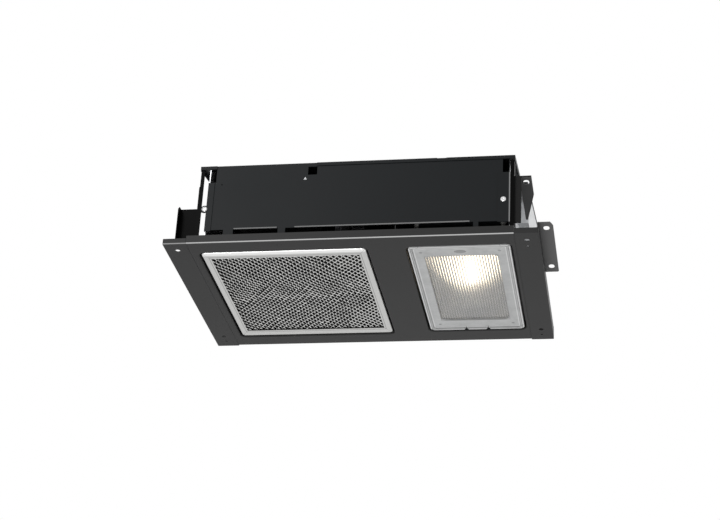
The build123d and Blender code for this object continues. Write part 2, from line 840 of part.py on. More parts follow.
upper_slot = (post_right + upper_slot_out, front + upper_slot_front, upper_ear_height)
ear_y = front + upper_ear_front
with BuildPart() as upper_ear:
    with BuildSketch(Plane.XY.offset(upper_ear_height)):
        with BuildLine():
            Polyline(
                (post_right - sheet, ear_y),
                (post_right + upper_ear_out, ear_y),
                (post_right + upper_ear_out, ear_y + upper_ear_straight),
                (post_right + upper_ear_web, ear_y + upper_ear_length),
                (post_right + upper_ear_web - upper_ear_strip, ear_y + upper_ear_length),
                (post_right + upper_ear_web - upper_ear_strip, ear_y + post_return),
                (post_right - sheet, ear_y + post_return),
                close=True,
            )
        make_face()
        with Locations((upper_slot[0], upper_slot[1])):
            SlotOverall(slot_length, slot_width, rotation=90, mode=Mode.SUBTRACT)
    extrude(amount=sheet)
    slab((post_right - sheet, post_right + upper_ear_web), (ear_y, ear_y + sheet),
         (strip_bottom, upper_ear_height))
    slab((post_right - sheet, post_right), (ear_y, ear_y + post_return), (strip_bottom, upper_ear_height))
save(upper_ear.part, "upper_ear")

# ---------------------------------------------------------------------------
# Grease filter: a folded frame round a layered mesh core
# ---------------------------------------------------------------------------
filter_top = filter_recess + filter_thickness
filter_plane = Plane.XY.offset(filter_recess)
window_x = grown((filter_left, filter_right), -filter_side_border)
window_y = grown((filter_front, filter_back), -filter_end_border)
with BuildPart() as filter_frame:
    body = round_rectangle(filter_plane, (filter_left, filter_right), (filter_front, filter_back),
                           filter_corner)
    extrude(body, amount=filter_thickness)
    fillet(edges().group_by(Axis.Z)[0] + edges().group_by(Axis.Z)[-1], bend_radius)
    cavity = round_rectangle(Plane.XY.offset(filter_recess + filter_wall),
                             grown((filter_left, filter_right), -filter_wall),
                             grown((filter_front, filter_back), -filter_wall), filter_corner - filter_wall)
    extrude(cavity, amount=filter_thickness - 2 * filter_wall, mode=Mode.SUBTRACT)
    window = round_rectangle(filter_plane, window_x, window_y, filter_wall)
    extrude(window, amount=filter_thickness, mode=Mode.SUBTRACT)
save(filter_frame.part, "filter_frame")

# The core: a face layer of slit mesh with its openings, and the packed layers behind it
mesh_bottom = filter_recess + filter_wall
mesh_x = grown((filter_left, filter_right), -filter_wall - seat_gap)
mesh_y = grown((filter_front, filter_back), -filter_wall - seat_gap)
mesh_corner = filter_corner - filter_wall - seat_gap
mesh_pitch_x = (window_x[1] - window_x[0]) / mesh_columns
mesh_pitch_y = (window_y[1] - window_y[0]) / mesh_rows
with BuildPart() as filter_mesh_face:
    with BuildSketch(Plane.XY.offset(mesh_bottom)):
        with Locations((filter_mid_x, filter_mid_y)):
            RectangleRounded(mesh_x[1] - mesh_x[0], mesh_y[1] - mesh_y[0], mesh_corner)
            with GridLocations(mesh_pitch_x, mesh_pitch_y, mesh_columns, mesh_rows):
                Polygon(
                    (-mesh_opening * mesh_pitch_x / 2, 0),
                    (0, -mesh_opening * mesh_pitch_y / 2),
                    (mesh_opening * mesh_pitch_x / 2, 0),
                    (0, mesh_opening * mesh_pitch_y / 2),
                    mode=Mode.SUBTRACT,
                )
    extrude(amount=mesh_sheet)
save(filter_mesh_face.part, "filter_mesh_face")

with BuildPart() as filter_mesh_core:
    pad = round_rectangle(Plane.XY.offset(mesh_bottom + mesh_sheet), mesh_x, mesh_y, mesh_corner)
    extrude(pad, amount=mesh_thickness)
save(filter_mesh_core.part, "filter_mesh_core")

# ---------------------------------------------------------------------------
# Lamp lens, its hinge and its boss
# ---------------------------------------------------------------------------
rim_bottom = lens_recess
border_bottom = rim_bottom + lens_rim_drop
window_bottom = border_bottom + lens_window_step
border_top = border_bottom + lens_thickness
window_top = window_bottom + lens_thickness
hinge_y = lens_back - hinge_rod_setback - hinge_knuckle_radius / 2
hinge_z = hinge_rod_rise
lens_window_x = grown((lens_left, lens_right), -lens_border_side)
lens_window_y = grown((lens_front, lens_back), -lens_border_end)
rib_pitch = (lens_window_x[1] - lens_window_x[0]) / lens_rib_count
lug_x = [
    lens_mid_x + side * (hinge_tab_width / 2 + hinge_notch / 2)
    for side in (-1, 1)
]
rod_x = (lug_x[0] - hinge_notch, lug_x[1] + hinge_notch)
with BuildPart() as lens:
    rim = round_rectangle(Plane.XY.offset(rim_bottom), (lens_left, lens_right), (lens_front, lens_back),
                          lens_corner)
    extrude(rim, amount=border_top - rim_bottom)
    fillet(edges().group_by(Axis.Z)[0], lens_edge_round)
    tray = round_rectangle(Plane.XY.offset(rim_bottom), grown((lens_left, lens_right), -lens_rim_width),
                           grown((lens_front, lens_back), -lens_rim_width), lens_inner_corner)
    extrude(tray, amount=lens_rim_drop, mode=Mode.SUBTRACT)
    raised = round_rectangle(Plane.XY.offset(border_top), grown(lens_window_x, lens_thickness),
                             grown(lens_window_y, lens_thickness), lens_corner)
    extrude(raised, amount=window_top - border_top)
    recess = round_rectangle(Plane.XY.offset(border_bottom), lens_window_x, lens_window_y,
                             lens_corner - lens_thickness / 2)
    extrude(recess, amount=lens_window_step, mode=Mode.SUBTRACT)
    with BuildSketch(Plane.XZ.offset(-lens_window_y[0])):
        for rib in range(lens_rib_count):
            middle = lens_window_x[0] + (rib + 0.5) * rib_pitch
            with BuildLine():
                Polyline(
                    (middle - lens_rib_share * rib_pitch / 2, window_bottom),
                    (middle, window_bottom - lens_rib_height),
                    (middle + lens_rib_share * rib_pitch / 2, window_bottom),
                    close=True,
                )
            make_face()
    extrude(amount=-(lens_window_y[1] - lens_window_y[0]))
    with BuildSketch(Plane.XY.offset(border_bottom)):
        with Locations((lens_mid_x, (lens_front + lens_rim_width + lens_window_y[0]) / 2)):
            Ellipse(boss_length / 2, boss_width / 2)
    extrude(amount=-boss_height)
    skirt_x = grown((lens_left, lens_right), -lens_rim_width)
    skirt_y = grown((lens_front, lens_back), -lens_rim_width)
    with BuildSketch(Plane.XY.offset(border_top)):
        with Locations((lens_mid_x, lens_mid_y)):
            RectangleRounded(skirt_x[1] - skirt_x[0], skirt_y[1] - skirt_y[0], lens_corner)
            RectangleRounded(skirt_x[1] - skirt_x[0] - 2 * lens_thickness,
                             skirt_y[1] - skirt_y[0] - 2 * lens_thickness,
                             lens_corner - lens_thickness, mode=Mode.SUBTRACT)
    extrude(amount=lens_skirt_height - lens_thickness)
    with BuildSketch(Plane.YZ.offset(lens_mid_x - hinge_tab_width / 2)):
        with Locations((hinge_y, hinge_z)):
            Circle(hinge_knuckle_radius)
    extrude(amount=hinge_tab_width)
    for x in lug_x:
        slab(grown((x, x), hinge_notch / 2 - seat_gap / 2),
             (hinge_y - hinge_knuckle_radius - hinge_rod_radius, lens_back + sheet),
             (0, border_top + lens_skirt_height), Mode.SUBTRACT)
    with BuildSketch(Plane.YZ.offset(lens_mid_x - hinge_tab_width / 2 - seat_gap)):
        with Locations((hinge_y, hinge_z)):
            Circle(hinge_rod_radius + running_clearance)
    extrude(amount=hinge_tab_width + 2 * seat_gap, mode=Mode.SUBTRACT)
save(lens.part, "lens")

with BuildPart() as lens_hinge_rod:
    with Locations(Plane(origin=(lens_mid_x, hinge_y, hinge_z), z_dir=(1, 0, 0))):
        Cylinder(hinge_rod_radius, hinge_tab_width + 2 * hinge_notch - 2 * seat_gap)
save(lens_hinge_rod.part, "lens_hinge_rod")

lug_thickness = hinge_notch - 2 * sheet
with BuildPart() as lens_hinge_bracket:
    slab((rod_x[0], rod_x[1]), (lens_open_y[1] - sheet, lens_open_y[1]),
         (bend_radius, opening_lip_height))
    for x in lug_x:
        with BuildSketch(Plane.YZ.offset(x - lug_thickness / 2)):
            with Locations((hinge_y, hinge_z)):
                Circle(2 * hinge_rod_radius)
            with BuildLine():
                Polyline(
                    (hinge_y, hinge_z - 2 * hinge_rod_radius),
                    (lens_open_y[1], hinge_z - 2 * hinge_rod_radius + bend_radius),
                    (lens_open_y[1], hinge_z + 2 * hinge_rod_radius),
                    (hinge_y, hinge_z + 2 * hinge_rod_radius),
                    close=True,
                )
            make_face()
            with Locations((hinge_y, hinge_z)):
                Circle(hinge_rod_radius, mode=Mode.SUBTRACT)
        extrude(amount=lug_thickness)
save(lens_hinge_bracket.part, "lens_hinge_bracket")

# ---------------------------------------------------------------------------
# Fan: scroll, wheel, shaft and motor
# ---------------------------------------------------------------------------
axis_point = (axis_y, axis_z)


def scroll_outline(grow):
    """The scroll's outline in (y, z): three growing quarter arcs and a throat up to the roof."""
    nose = radians(tongue_angle + tongue_nose * grow / wall_sheet)
    first = (c1[0] + (r1 + grow) * cos(nose), c1[1] + (r1 + grow) * sin(nose))
    top = (c1[0], c1[1] + r1 + grow)
    front_point = (c1[0] - r1 - grow, c1[1])
    bottom = (c2[0], c2[1] - r2 - grow)
    back_point = (c3[0] + r3 + grow, c3[1])
    flare = throat_front - grow
    RadiusArc(first, top, -(r1 + grow))
    RadiusArc(top, front_point, -(r1 + grow))
    RadiusArc(front_point, bottom, -(r2 + grow))
    RadiusArc(bottom, back_point, -(r3 + grow))
    Polyline(
        back_point,
        (throat_back + grow, roof_under(throat_back + grow)),
        (flare, roof_under(flare)),
        first,
    )


with BuildPart() as scroll_wrap:
    with BuildSketch(Plane.YZ.offset(scroll_x[0])):
        with BuildLine():
            scroll_outline(wall_sheet)
        make_face()
        with BuildLine():
            scroll_outline(0)
        make_face(mode=Mode.SUBTRACT)
        with BuildLine():
            Polyline(
                (throat_front, roof_under(throat_front) - seat_gap),
                (throat_back, roof_under(throat_back) - seat_gap),
                (throat_back, roof_under(throat_back) + sheet),
                (throat_front, roof_under(throat_front) + sheet),
                close=True,
            )
        make_face(mode=Mode.SUBTRACT)
    extrude(amount=scroll_width)
save(scroll_wrap.part, "scroll_wrap")


def scroll_side(label, x_inner, outward):
    """A side plate of the scroll with a rolled air inlet round the fan's axis."""
    x_outer = x_inner + outward * wall_sheet
    with BuildPart() as side:
        with BuildSketch(Plane.YZ.offset(min(x_inner, x_outer))):
            with BuildLine():
                scroll_outline(wall_sheet)
            make_face()
            with Locations(axis_point):
                Circle(inlet_radius, mode=Mode.SUBTRACT)
        extrude(amount=wall_sheet)
        with BuildSketch(Plane.YZ.offset(min(x_outer, x_outer + outward * inlet_lip))):
            with Locations(axis_point):
                Circle(inlet_radius + wall_sheet)
                Circle(inlet_radius, mode=Mode.SUBTRACT)
        extrude(amount=inlet_lip)
        add(side_profile(
            (
                (throat_front, roof_under(throat_front) - wall_sheet),
                (throat_back, roof_under(throat_back) - wall_sheet),
                (throat_back, roof_under(throat_back)),
                (throat_front, roof_under(throat_front)),
            ),
            *sorted((x_outer, x_outer + outward * scroll_flange)),
        ))
        if outward > 0:
            drill(arm_feet, (1, 0, 0), small_through, 8 * wall_sheet)
    save(side.part, label)


arm_foot_ring = inlet_radius + arm_foot
arm_feet = [
    (
        scroll_x[1] + wall_sheet,
        axis_y + arm_foot_ring * cos(radians(90 + turn * 360 / arm_count)),
        axis_z + arm_foot_ring * sin(radians(90 + turn * 360 / arm_count)),
    )
    for turn in range(arm_count)
]
scroll_side("scroll_left_side", scroll_x[0], -1)
scroll_side("scroll_right_side", scroll_x[1], 1)

wheel_x = grown(scroll_x, -wheel_end_gap)
disc_x = grown((fan_x, fan_x), wheel_plate / 2)
hub_x = grown((fan_x, fan_x), hub_length / 2)
with BuildPart() as wheel_disc:
    for x_limits, radius in ((disc_x, wheel_radius), (hub_x, hub_radius)):
        with BuildSketch(Plane.YZ.offset(x_limits[0])):
            with Locations(axis_point):
                Circle(radius)
        extrude(amount=x_limits[1] - x_limits[0])
    with Locations(Plane(origin=(fan_x, axis_y, axis_z), z_dir=(1, 0, 0))):
        Cylinder(shaft_radius, 2 * hub_length, mode=Mode.SUBTRACT)
save(wheel_disc.part, "wheel_disc")


def blade_cage(label, x_limits, ring_x):
    """Half of the wheel: the ring at an air inlet, and the blades from it to the disc."""
    with BuildPart() as cage:
        with BuildSketch(Plane.YZ.offset(ring_x)):
            with Locations(axis_point):
                Circle(wheel_radius)
                Circle(wheel_radius - wheel_ring, mode=Mode.SUBTRACT)
        extrude(amount=wheel_plate)
        with BuildSketch(Plane.YZ.offset(x_limits[0])):
            with Locations(axis_point):
                with PolarLocations(wheel_radius - wheel_ring / 2 - blade_thickness / 4, blade_count):
                    Rectangle(wheel_ring - blade_thickness, blade_thickness, rotation=blade_angle)
        extrude(amount=x_limits[1] - x_limits[0])
    save(cage.part, label)


blade_cage("wheel_left_cage", (wheel_x[0], disc_x[0]), wheel_x[0])
blade_cage("wheel_right_cage", (disc_x[1], wheel_x[1]), wheel_x[1] - wheel_plate)

motor_x = (scroll_x[1] + wall_sheet + motor_gap, scroll_x[1] + wall_sheet + motor_gap + motor_length)
shaft_end = motor_x[1] - motor_cap_length / 2
with BuildPart() as motor_shaft:
    with BuildSketch(Plane.YZ.offset(fan_x - hub_length / 2 - shaft_radius)):
        with Locations(axis_point):
            Circle(shaft_radius)
    extrude(amount=shaft_end - (fan_x - hub_length / 2 - shaft_radius))
    chamfer(edges().filter_by(GeomType.CIRCLE), shaft_radius / 6)
save(motor_shaft.part, "motor_shaft")

shaft_bore = shaft_radius + running_clearance


def motor_shell(label, x_limits, radius, corner, bore_depth):
    """One turned piece of the motor's case, with the shaft's bore through part of it."""
    with BuildPart() as shell:
        with BuildSketch(Plane.YZ.offset(x_limits[0])):
            with Locations(axis_point):
                Circle(radius)
        extrude(amount=x_limits[1] - x_limits[0])
        if corner:
            rounded = edges().filter_by(GeomType.CIRCLE).group_by(Axis.X)[0 if corner < 0 else -1]
            fillet(rounded, abs(corner))
        if corner < 0:
            with BuildSketch(Plane.YZ.offset(x_limits[0] - bearing_boss_length)):
                with Locations(axis_point):
                    Circle(bearing_boss_radius)
            extrude(amount=bearing_boss_length)
        with BuildSketch(Plane.YZ.offset(x_limits[0] - bearing_boss_length)):
            with Locations(axis_point):
                Circle(shaft_bore)
        extrude(amount=bearing_boss_length + bore_depth, mode=Mode.SUBTRACT)
        if corner == 0:
            with BuildSketch(Plane.YZ.offset(x_limits[0])):
                with Locations(axis_point):
                    with PolarLocations(radius, cooling_slot_count):
                        Rectangle(2 * wall_sheet, 3 * wall_sheet)
            extrude(amount=x_limits[1] - x_limits[0], mode=Mode.SUBTRACT)
    save(shell.part, label)


front_cap = (motor_x[0], motor_x[0] + motor_cap_length)
stack = (front_cap[1], motor_x[1] - motor_cap_length)
back_cap = (stack[1], motor_x[1])
motor_shell("motor_front_cap", front_cap, motor_radius, -bend_radius * 2, motor_cap_length)
motor_shell("motor_stator", stack, motor_radius - sheet, 0, stack[1] - stack[0])
motor_shell("motor_back_cap", back_cap, motor_radius, bend_radius * 2,
            motor_cap_length / 2 + running_clearance)

# The band clamps the motor's back cap side and three arms reach over to the scroll
band_middle = front_cap[1] + motor_cap_length
band_x = grown((band_middle, band_middle), band_width / 2)
with BuildPart() as motor_bracket:
    with BuildSketch(Plane.YZ.offset(band_x[0])):
        with Locations(axis_point):
            Circle(motor_radius + band_thickness)
            Circle(motor_radius - sheet, mode=Mode.SUBTRACT)
    extrude(amount=band_width)
    for _, foot_y, foot_z in arm_feet:
        outward = Vector(0, foot_y - axis_y, foot_z - axis_z).normalized()
        across = Vector(1, 0, 0)
        plane = Plane(origin=(0, axis_y, axis_z), x_dir=across, z_dir=across.cross(outward))
        foot_x = scroll_x[1] + wall_sheet
        low = motor_radius + band_thickness / 2
        with BuildSketch(plane.offset(-arm_width / 2)):
            with BuildLine():
                Polyline(
                    (foot_x, arm_foot_ring - arm_foot / 2),
                    (foot_x + band_thickness, arm_foot_ring - arm_foot / 2),
                    (foot_x + band_thickness, arm_foot_ring + arm_foot / 2 - band_thickness),
                    (band_x[0], low),
                    (band_x[1], low),
                    (band_x[1], low + band_thickness),
                    (band_x[0] + band_thickness, low + band_thickness),
                    (foot_x + band_thickness, arm_foot_ring + arm_foot / 2 + band_thickness),
                    (foot_x, arm_foot_ring + arm_foot / 2 + band_thickness),
                    close=True,
                )
            make_face()
        extrude(amount=arm_width)
    drill(arm_feet, (1, 0, 0), small_through, 8 * wall_sheet)
save(motor_bracket.part, "motor_bracket")

bracket_heads = [(x + band_thickness, y, z) for x, y, z in arm_feet]
screws("motor_screws", bracket_heads, (1, 0, 0), small_screw_radius, small_head_radius,
       small_head_height, band_thickness + wall_sheet + wheel_end_gap / 3)

# ---------------------------------------------------------------------------
# Duct collar with its two-leaf damper
# ---------------------------------------------------------------------------
duct_bore = duct_radius - sheet
flap_radius = duct_bore - damper_gap
knuckle_radius = damper_pin_radius + running_clearance + knuckle_wall
flange_span = (duct_y - duct_radius - collar_flange, duct_y + duct_radius + collar_flange)
collar_low = roof_over(flange_span[0]) - sheet
collar_top = roof_over(flange_span[1]) + collar_height
damper_height = collar_top - damper_drop
flange_round = Pos(fan_x, duct_y, collar_top) * Cylinder(duct_radius + collar_flange, 2 * collar_top)
with BuildPart() as duct_collar:
    with BuildSketch(Plane.XY.offset(collar_low)):
        with Locations((fan_x, duct_y)):
            Circle(duct_radius)
    extrude(amount=collar_top - collar_low)
    with BuildSketch(Plane.XY.offset(collar_low)):
        with Locations((fan_x, duct_y)):
            Circle(duct_radius + collar_step)
    extrude(amount=collar_top - collar_seat - collar_low)
    add(side_profile(
        (
            (flange_span[0], roof_over(flange_span[0])),
            (flange_span[1], roof_over(flange_span[1])),
            (flange_span[1], roof_over(flange_span[0]) - 2 * collar_flange),
            (flange_span[0], roof_over(flange_span[0]) - 2 * collar_flange),
        ),
        fan_x - 2 * duct_radius, fan_x + 2 * duct_radius,
    ), mode=Mode.SUBTRACT)
    flange_sheet = side_profile(
        (
            (flange_span[0], roof_over(flange_span[0])),
            (flange_span[1], roof_over(flange_span[1])),
            (flange_span[1], roof_over(flange_span[1]) + roof_rise),
            (flange_span[0], roof_over(flange_span[0]) + roof_rise),
        ),
        fan_x - 2 * duct_radius, fan_x + 2 * duct_radius,
    )
    add(flange_sheet & flange_round)
    with Locations((fan_x, duct_y, damper_height)):
        Cylinder(duct_bore, 4 * duct_radius, mode=Mode.SUBTRACT)
    with BuildSketch(Plane.XY.offset(damper_height - flap_thickness / 2 - seat_gap - sheet)):
        with Locations((fan_x, duct_y)):
            Circle(duct_bore)
            Circle(duct_bore - stop_bead, mode=Mode.SUBTRACT)
            Rectangle(2 * duct_radius, 2 * (knuckle_radius + seat_gap), mode=Mode.SUBTRACT)
    extrude(amount=sheet)
    drill([(fan_x, duct_y, damper_height)], (1, 0, 0), damper_pin_radius, 4 * duct_radius)
    drill(collar_screws(), roof_normal, small_through, 12 * sheet)
save(duct_collar.part, "duct_collar")

with BuildPart() as damper_pin:
    with Locations(Plane(origin=(fan_x, duct_y, damper_height), z_dir=(1, 0, 0))):
        Cylinder(damper_pin_radius, 2 * duct_radius)
save(damper_pin.part, "damper_pin")


def damper_flap(label, side):
    """Half of the round damper, hung on every other knuckle of the pin."""
    step = 2 * (flap_radius - stop_bead) / knuckle_count
    first = 0 if side < 0 else 1
    starts = [fan_x - flap_radius + stop_bead + step * turn for turn in range(knuckle_count)]
    with BuildPart() as flap:
        with BuildSketch(Plane.XY.offset(damper_height - flap_thickness / 2)):
            with Locations((fan_x, duct_y)):
                Circle(flap_radius)
            with Locations((fan_x, duct_y - side * (flap_radius - knuckle_radius / 2))):
                Rectangle(4 * flap_radius, 2 * flap_radius + knuckle_radius, mode=Mode.SUBTRACT)
        extrude(amount=flap_thickness)
        for start in starts[first::2]:
            slab((start + knuckle_gap / 2, start + step - knuckle_gap / 2),
                 sorted((duct_y, duct_y + side * 2 * knuckle_radius)),
                 (damper_height - flap_thickness / 2, damper_height + flap_thickness / 2))
            with BuildSketch(Plane.YZ.offset(start + knuckle_gap / 2)):
                with Locations((duct_y, damper_height)):
                    Circle(knuckle_radius)
            extrude(amount=step - knuckle_gap)
        for start in starts[1 - first::2]:
            slab((start - knuckle_gap / 2, start + step + knuckle_gap / 2),
                 sorted((duct_y - side * knuckle_radius, duct_y + side * (knuckle_radius + knuckle_gap))),
                 (damper_height - knuckle_radius, damper_height + knuckle_radius), Mode.SUBTRACT)
        for end in (-1, 1):
            edge = fan_x + end * flap_radius
            slab(sorted((edge, edge - end * (stop_bead - knuckle_gap))),
                 grown((duct_y, duct_y), knuckle_radius + knuckle_gap),
                 (damper_height - knuckle_radius, damper_height + knuckle_radius), Mode.SUBTRACT)
        with Locations(Plane(origin=(fan_x, duct_y, damper_height), z_dir=(1, 0, 0))):
            Cylinder(damper_pin_radius + running_clearance, 4 * flap_radius, mode=Mode.SUBTRACT)
    save(flap.part, label)


damper_flap("front_damper_flap", -1)
damper_flap("rear_damper_flap", 1)
screws("collar_screws", collar_screws(), roof_normal, small_screw_radius,
       small_head_radius, small_head_height, 2 * sheet + screw_bite)

# ---------------------------------------------------------------------------
# Lamp: socket, bracket and bulb
# ---------------------------------------------------------------------------
bulb_end = lamp_y - bulb_radius
with BuildPart() as socket_bracket:
    slab(grown((lens_mid_x, lens_mid_x), bracket_width / 2), (bracket_y, bracket_y + sheet),
         (bulb_height - bracket_drop, pan_height - wall_sheet))
    slab(grown((lens_mid_x, lens_mid_x), bracket_width / 2), (bracket_y, bracket_y + bracket_foot),
         (pan_height - wall_sheet - sheet, pan_height - wall_sheet))
    drill([(lens_mid_x, bracket_y, bulb_height)], (0, 1, 0), socket_boss + running_clearance, 4 * sheet)
    drill(pan_screws, (0, 0, 1), small_through, 8 * sheet)
save(socket_bracket.part, "socket_bracket")
screws("lamp_bracket_screws", pan_screws, (0, 0, 1), small_screw_radius, small_head_radius,
       small_head_height, wall_sheet + sheet + screw_bite)

lamp_axis = Axis((lens_mid_x, lamp_y, bulb_height), (0, 1, 0))
lamp_plane = Plane(origin=(lens_mid_x, 0, bulb_height), x_dir=(1, 0, 0), z_dir=(0, 0, 1))
cap_bore = cap_radius + 2 * running_clearance
with BuildPart() as lamp_socket:
    with BuildSketch(lamp_plane):
        with BuildLine():
            Polyline(
                (cap_bore, socket_y + cap_lead),
                (socket_radius - bend_radius, socket_y + cap_lead),
                (socket_radius, socket_y + cap_lead + bend_radius),
                (socket_radius, bracket_y - socket_wall),
                (socket_radius - bend_radius, bracket_y),
                (socket_boss, bracket_y),
                (socket_boss, bracket_y + 2 * sheet),
                (0, bracket_y + 2 * sheet),
                (0, socket_y + cap_length + seat_gap),
                (cap_bore, socket_y + cap_length + seat_gap),
                close=True,
            )
        make_face()
    revolve(axis=lamp_axis)
save(lamp_socket.part, "lamp_socket")

with BuildPart() as bulb_cap:
    with BuildSketch(lamp_plane):
        with BuildLine():
            Polyline(
                (0, socket_y),
                (cap_radius, socket_y),
                (cap_radius, socket_y + cap_length - 3 * bend_radius),
                (socket_boss, socket_y + cap_length - bend_radius),
                (socket_boss, socket_y + cap_length),
                (0, socket_y + cap_length),
                close=True,
            )
        make_face()
    revolve(axis=lamp_axis)
save(bulb_cap.part, "bulb_cap")

with BuildPart() as bulb_glass:
    with BuildSketch(lamp_plane):
        with BuildLine():
            shoulder = (bulb_radius * cos(radians(40)), lamp_y + bulb_radius * sin(radians(40)))
            Line((0, socket_y), (0, bulb_end))
            RadiusArc((0, bulb_end), (bulb_radius, lamp_y), -bulb_radius)
            RadiusArc((bulb_radius, lamp_y), shoulder, -bulb_radius)
            Line(shoulder, (bulb_neck_radius, socket_y - cap_lead * 4))
            Line((bulb_neck_radius, socket_y - cap_lead * 4), (bulb_neck_radius, socket_y))
            Line((bulb_neck_radius, socket_y), (0, socket_y))
        make_face()
    revolve(axis=lamp_axis)
save(bulb_glass.part, "bulb_glass")

# ---------------------------------------------------------------------------
# Wiring cover on the right wall, and the bushings where wires pass
# ---------------------------------------------------------------------------
cover_x = strip_right + cover_out
cover_middle = ((cover_y[0] + cover_y[1]) / 2, cover_bottom + 2 * knockout_radius)
with BuildPart() as wiring_cover:
    add(side_profile(
        (
            (cover_y[0], cover_bottom),
            (cover_y[1], cover_bottom),
            (cover_y[1], roof_under(cover_y[1])),
            (cover_y[0], roof_under(cover_y[0])),
        ),
        wall_right, cover_x - sheet,
    ))
    add(side_profile(
        (
            (cover_y[0] + wall_sheet, cover_bottom + wall_sheet),
            (cover_y[1] - wall_sheet, cover_bottom + wall_sheet),
            (cover_y[1] - wall_sheet, roof_under(cover_y[1]) + sheet),
            (cover_y[0] + wall_sheet, roof_under(cover_y[0]) + sheet),
        ),
        wall_right, cover_x - sheet - wall_sheet,
    ), mode=Mode.SUBTRACT)
    slab((wall_right, wall_right + wall_sheet), (cover_y[0] - cover_flange, cover_y[0]),
         (cover_bottom, roof_under(cover_y[0]) - cover_flange))
    slab((wall_right, wall_right + wall_sheet), cover_y, (cover_bottom - cover_flange, cover_bottom))
    drill(cover_screws, (1, 0, 0), small_through, 8 * wall_sheet)
    drill([(cover_x - sheet, cover_middle[0], cover_middle[1])], (1, 0, 0), knockout_radius, 4 * wall_sheet)
save(wiring_cover.part, "wiring_cover")
screws("cover_screws", cover_screws, (1, 0, 0), small_screw_radius, small_head_radius,
       small_head_height, 2 * wall_sheet + screw_bite)

with BuildPart() as wire_grommets:
    for place in (grommet_place, wire_hole):
        with Locations(Plane(origin=place, z_dir=(1, 0, 0))):
            Cylinder(grommet_radius - running_clearance, wall_sheet)
            for side in (-1, 1):
                with Locations((0, 0, side * (wall_sheet + grommet_lip) / 2)):
                    Cylinder(grommet_radius + grommet_lip, grommet_lip)
            Cylinder(grommet_bore, 4 * grommet_lip, mode=Mode.SUBTRACT)
save(wire_grommets.part, "wire_grommets")
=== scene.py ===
import json
from functools import reduce
from math import radians

import bmesh
import bpy
import numpy as np
from bpy.props import FloatProperty, FloatVectorProperty, IntProperty, PointerProperty
from mathutils import Matrix, Vector


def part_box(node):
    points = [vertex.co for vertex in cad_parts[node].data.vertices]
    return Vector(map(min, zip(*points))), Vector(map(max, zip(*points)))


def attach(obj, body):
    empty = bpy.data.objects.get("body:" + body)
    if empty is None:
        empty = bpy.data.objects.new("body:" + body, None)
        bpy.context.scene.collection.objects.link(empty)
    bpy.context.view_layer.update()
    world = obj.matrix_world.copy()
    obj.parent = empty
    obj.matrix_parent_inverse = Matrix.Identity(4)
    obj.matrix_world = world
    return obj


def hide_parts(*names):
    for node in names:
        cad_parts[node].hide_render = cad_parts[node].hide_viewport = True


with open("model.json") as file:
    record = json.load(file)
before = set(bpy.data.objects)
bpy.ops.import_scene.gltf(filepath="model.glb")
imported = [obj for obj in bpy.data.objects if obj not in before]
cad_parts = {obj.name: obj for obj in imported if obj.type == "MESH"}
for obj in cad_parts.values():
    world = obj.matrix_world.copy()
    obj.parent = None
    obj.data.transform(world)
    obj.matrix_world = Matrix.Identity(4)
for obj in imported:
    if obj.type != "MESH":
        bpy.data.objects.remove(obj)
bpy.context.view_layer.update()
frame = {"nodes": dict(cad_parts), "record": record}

bl_info = {
    "name": "Range hood insert",
    "version": (1, 0, 0),
    "blender": (4, 5, 0),
    "location": "3D View > Sidebar > Hood insert",
    "description": "Builds a range hood insert: mesh filter, ribbed lamp lens, housing and studio stage",
    "category": "Object",
}

MM = 0.001


def limits(node):
    """Lowest and highest corner of a node of the frame, as two arrays in metres."""
    low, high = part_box(node)
    return np.array(low), np.array(high)


FILTER_LOW, FILTER_HIGH = limits("filter_frame")
CORE_LOW, CORE_HIGH = limits("filter_mesh_core")
MESH_BOTTOM = limits("filter_mesh_face")[0][2]
LENS_LOW, LENS_HIGH = limits("lens")
ROD_LOW, ROD_HIGH = limits("lens_hinge_rod")


# ---------------------------------------------------------------------------
# Sizes and colours that a user may change
# ---------------------------------------------------------------------------
def length_property(name, description, millimetres, **more):
    """A length, given in millimetres and kept in metres."""
    return FloatProperty(name=name, description=description, default=millimetres * MM, unit="LENGTH", **more)


def colour_property(name, description, colour):
    """A colour between black and white."""
    return FloatVectorProperty(name=name, description=description, default=colour, size=3, subtype="COLOR",
                               min=0, max=1)


class FilterSizes(bpy.types.PropertyGroup):
    """Sizes of the slit mesh in the grease filter."""

    pitch_x: length_property("Pitch across", "Width of one opening, with its strand", 9.0, min=2 * MM)
    pitch_y: length_property("Pitch deep", "Depth of one opening, with its strand", 11.0, min=2 * MM)
    strand_width: length_property("Strand width", "Width of the flat strands between the openings", 1.6,
                                  min=0.2 * MM)
    strand_thickness: length_property("Strand thickness", "Thickness of the slit sheet", 0.35, min=0.05 * MM)
    strand_tilt: FloatProperty(name="Strand tilt", description="Turn of the strands out of the sheet",
                               default=radians(-24), subtype="ANGLE")
    dimple: length_property("Dimple height", "Rise of the soft waves pressed into the layers", 0.5, min=0.0)
    side_border: length_property("Side border", "Width of the frame's border at the sides", 11.0)
    end_border: length_property("End border", "Width of the frame's border at front and back", 17.0)


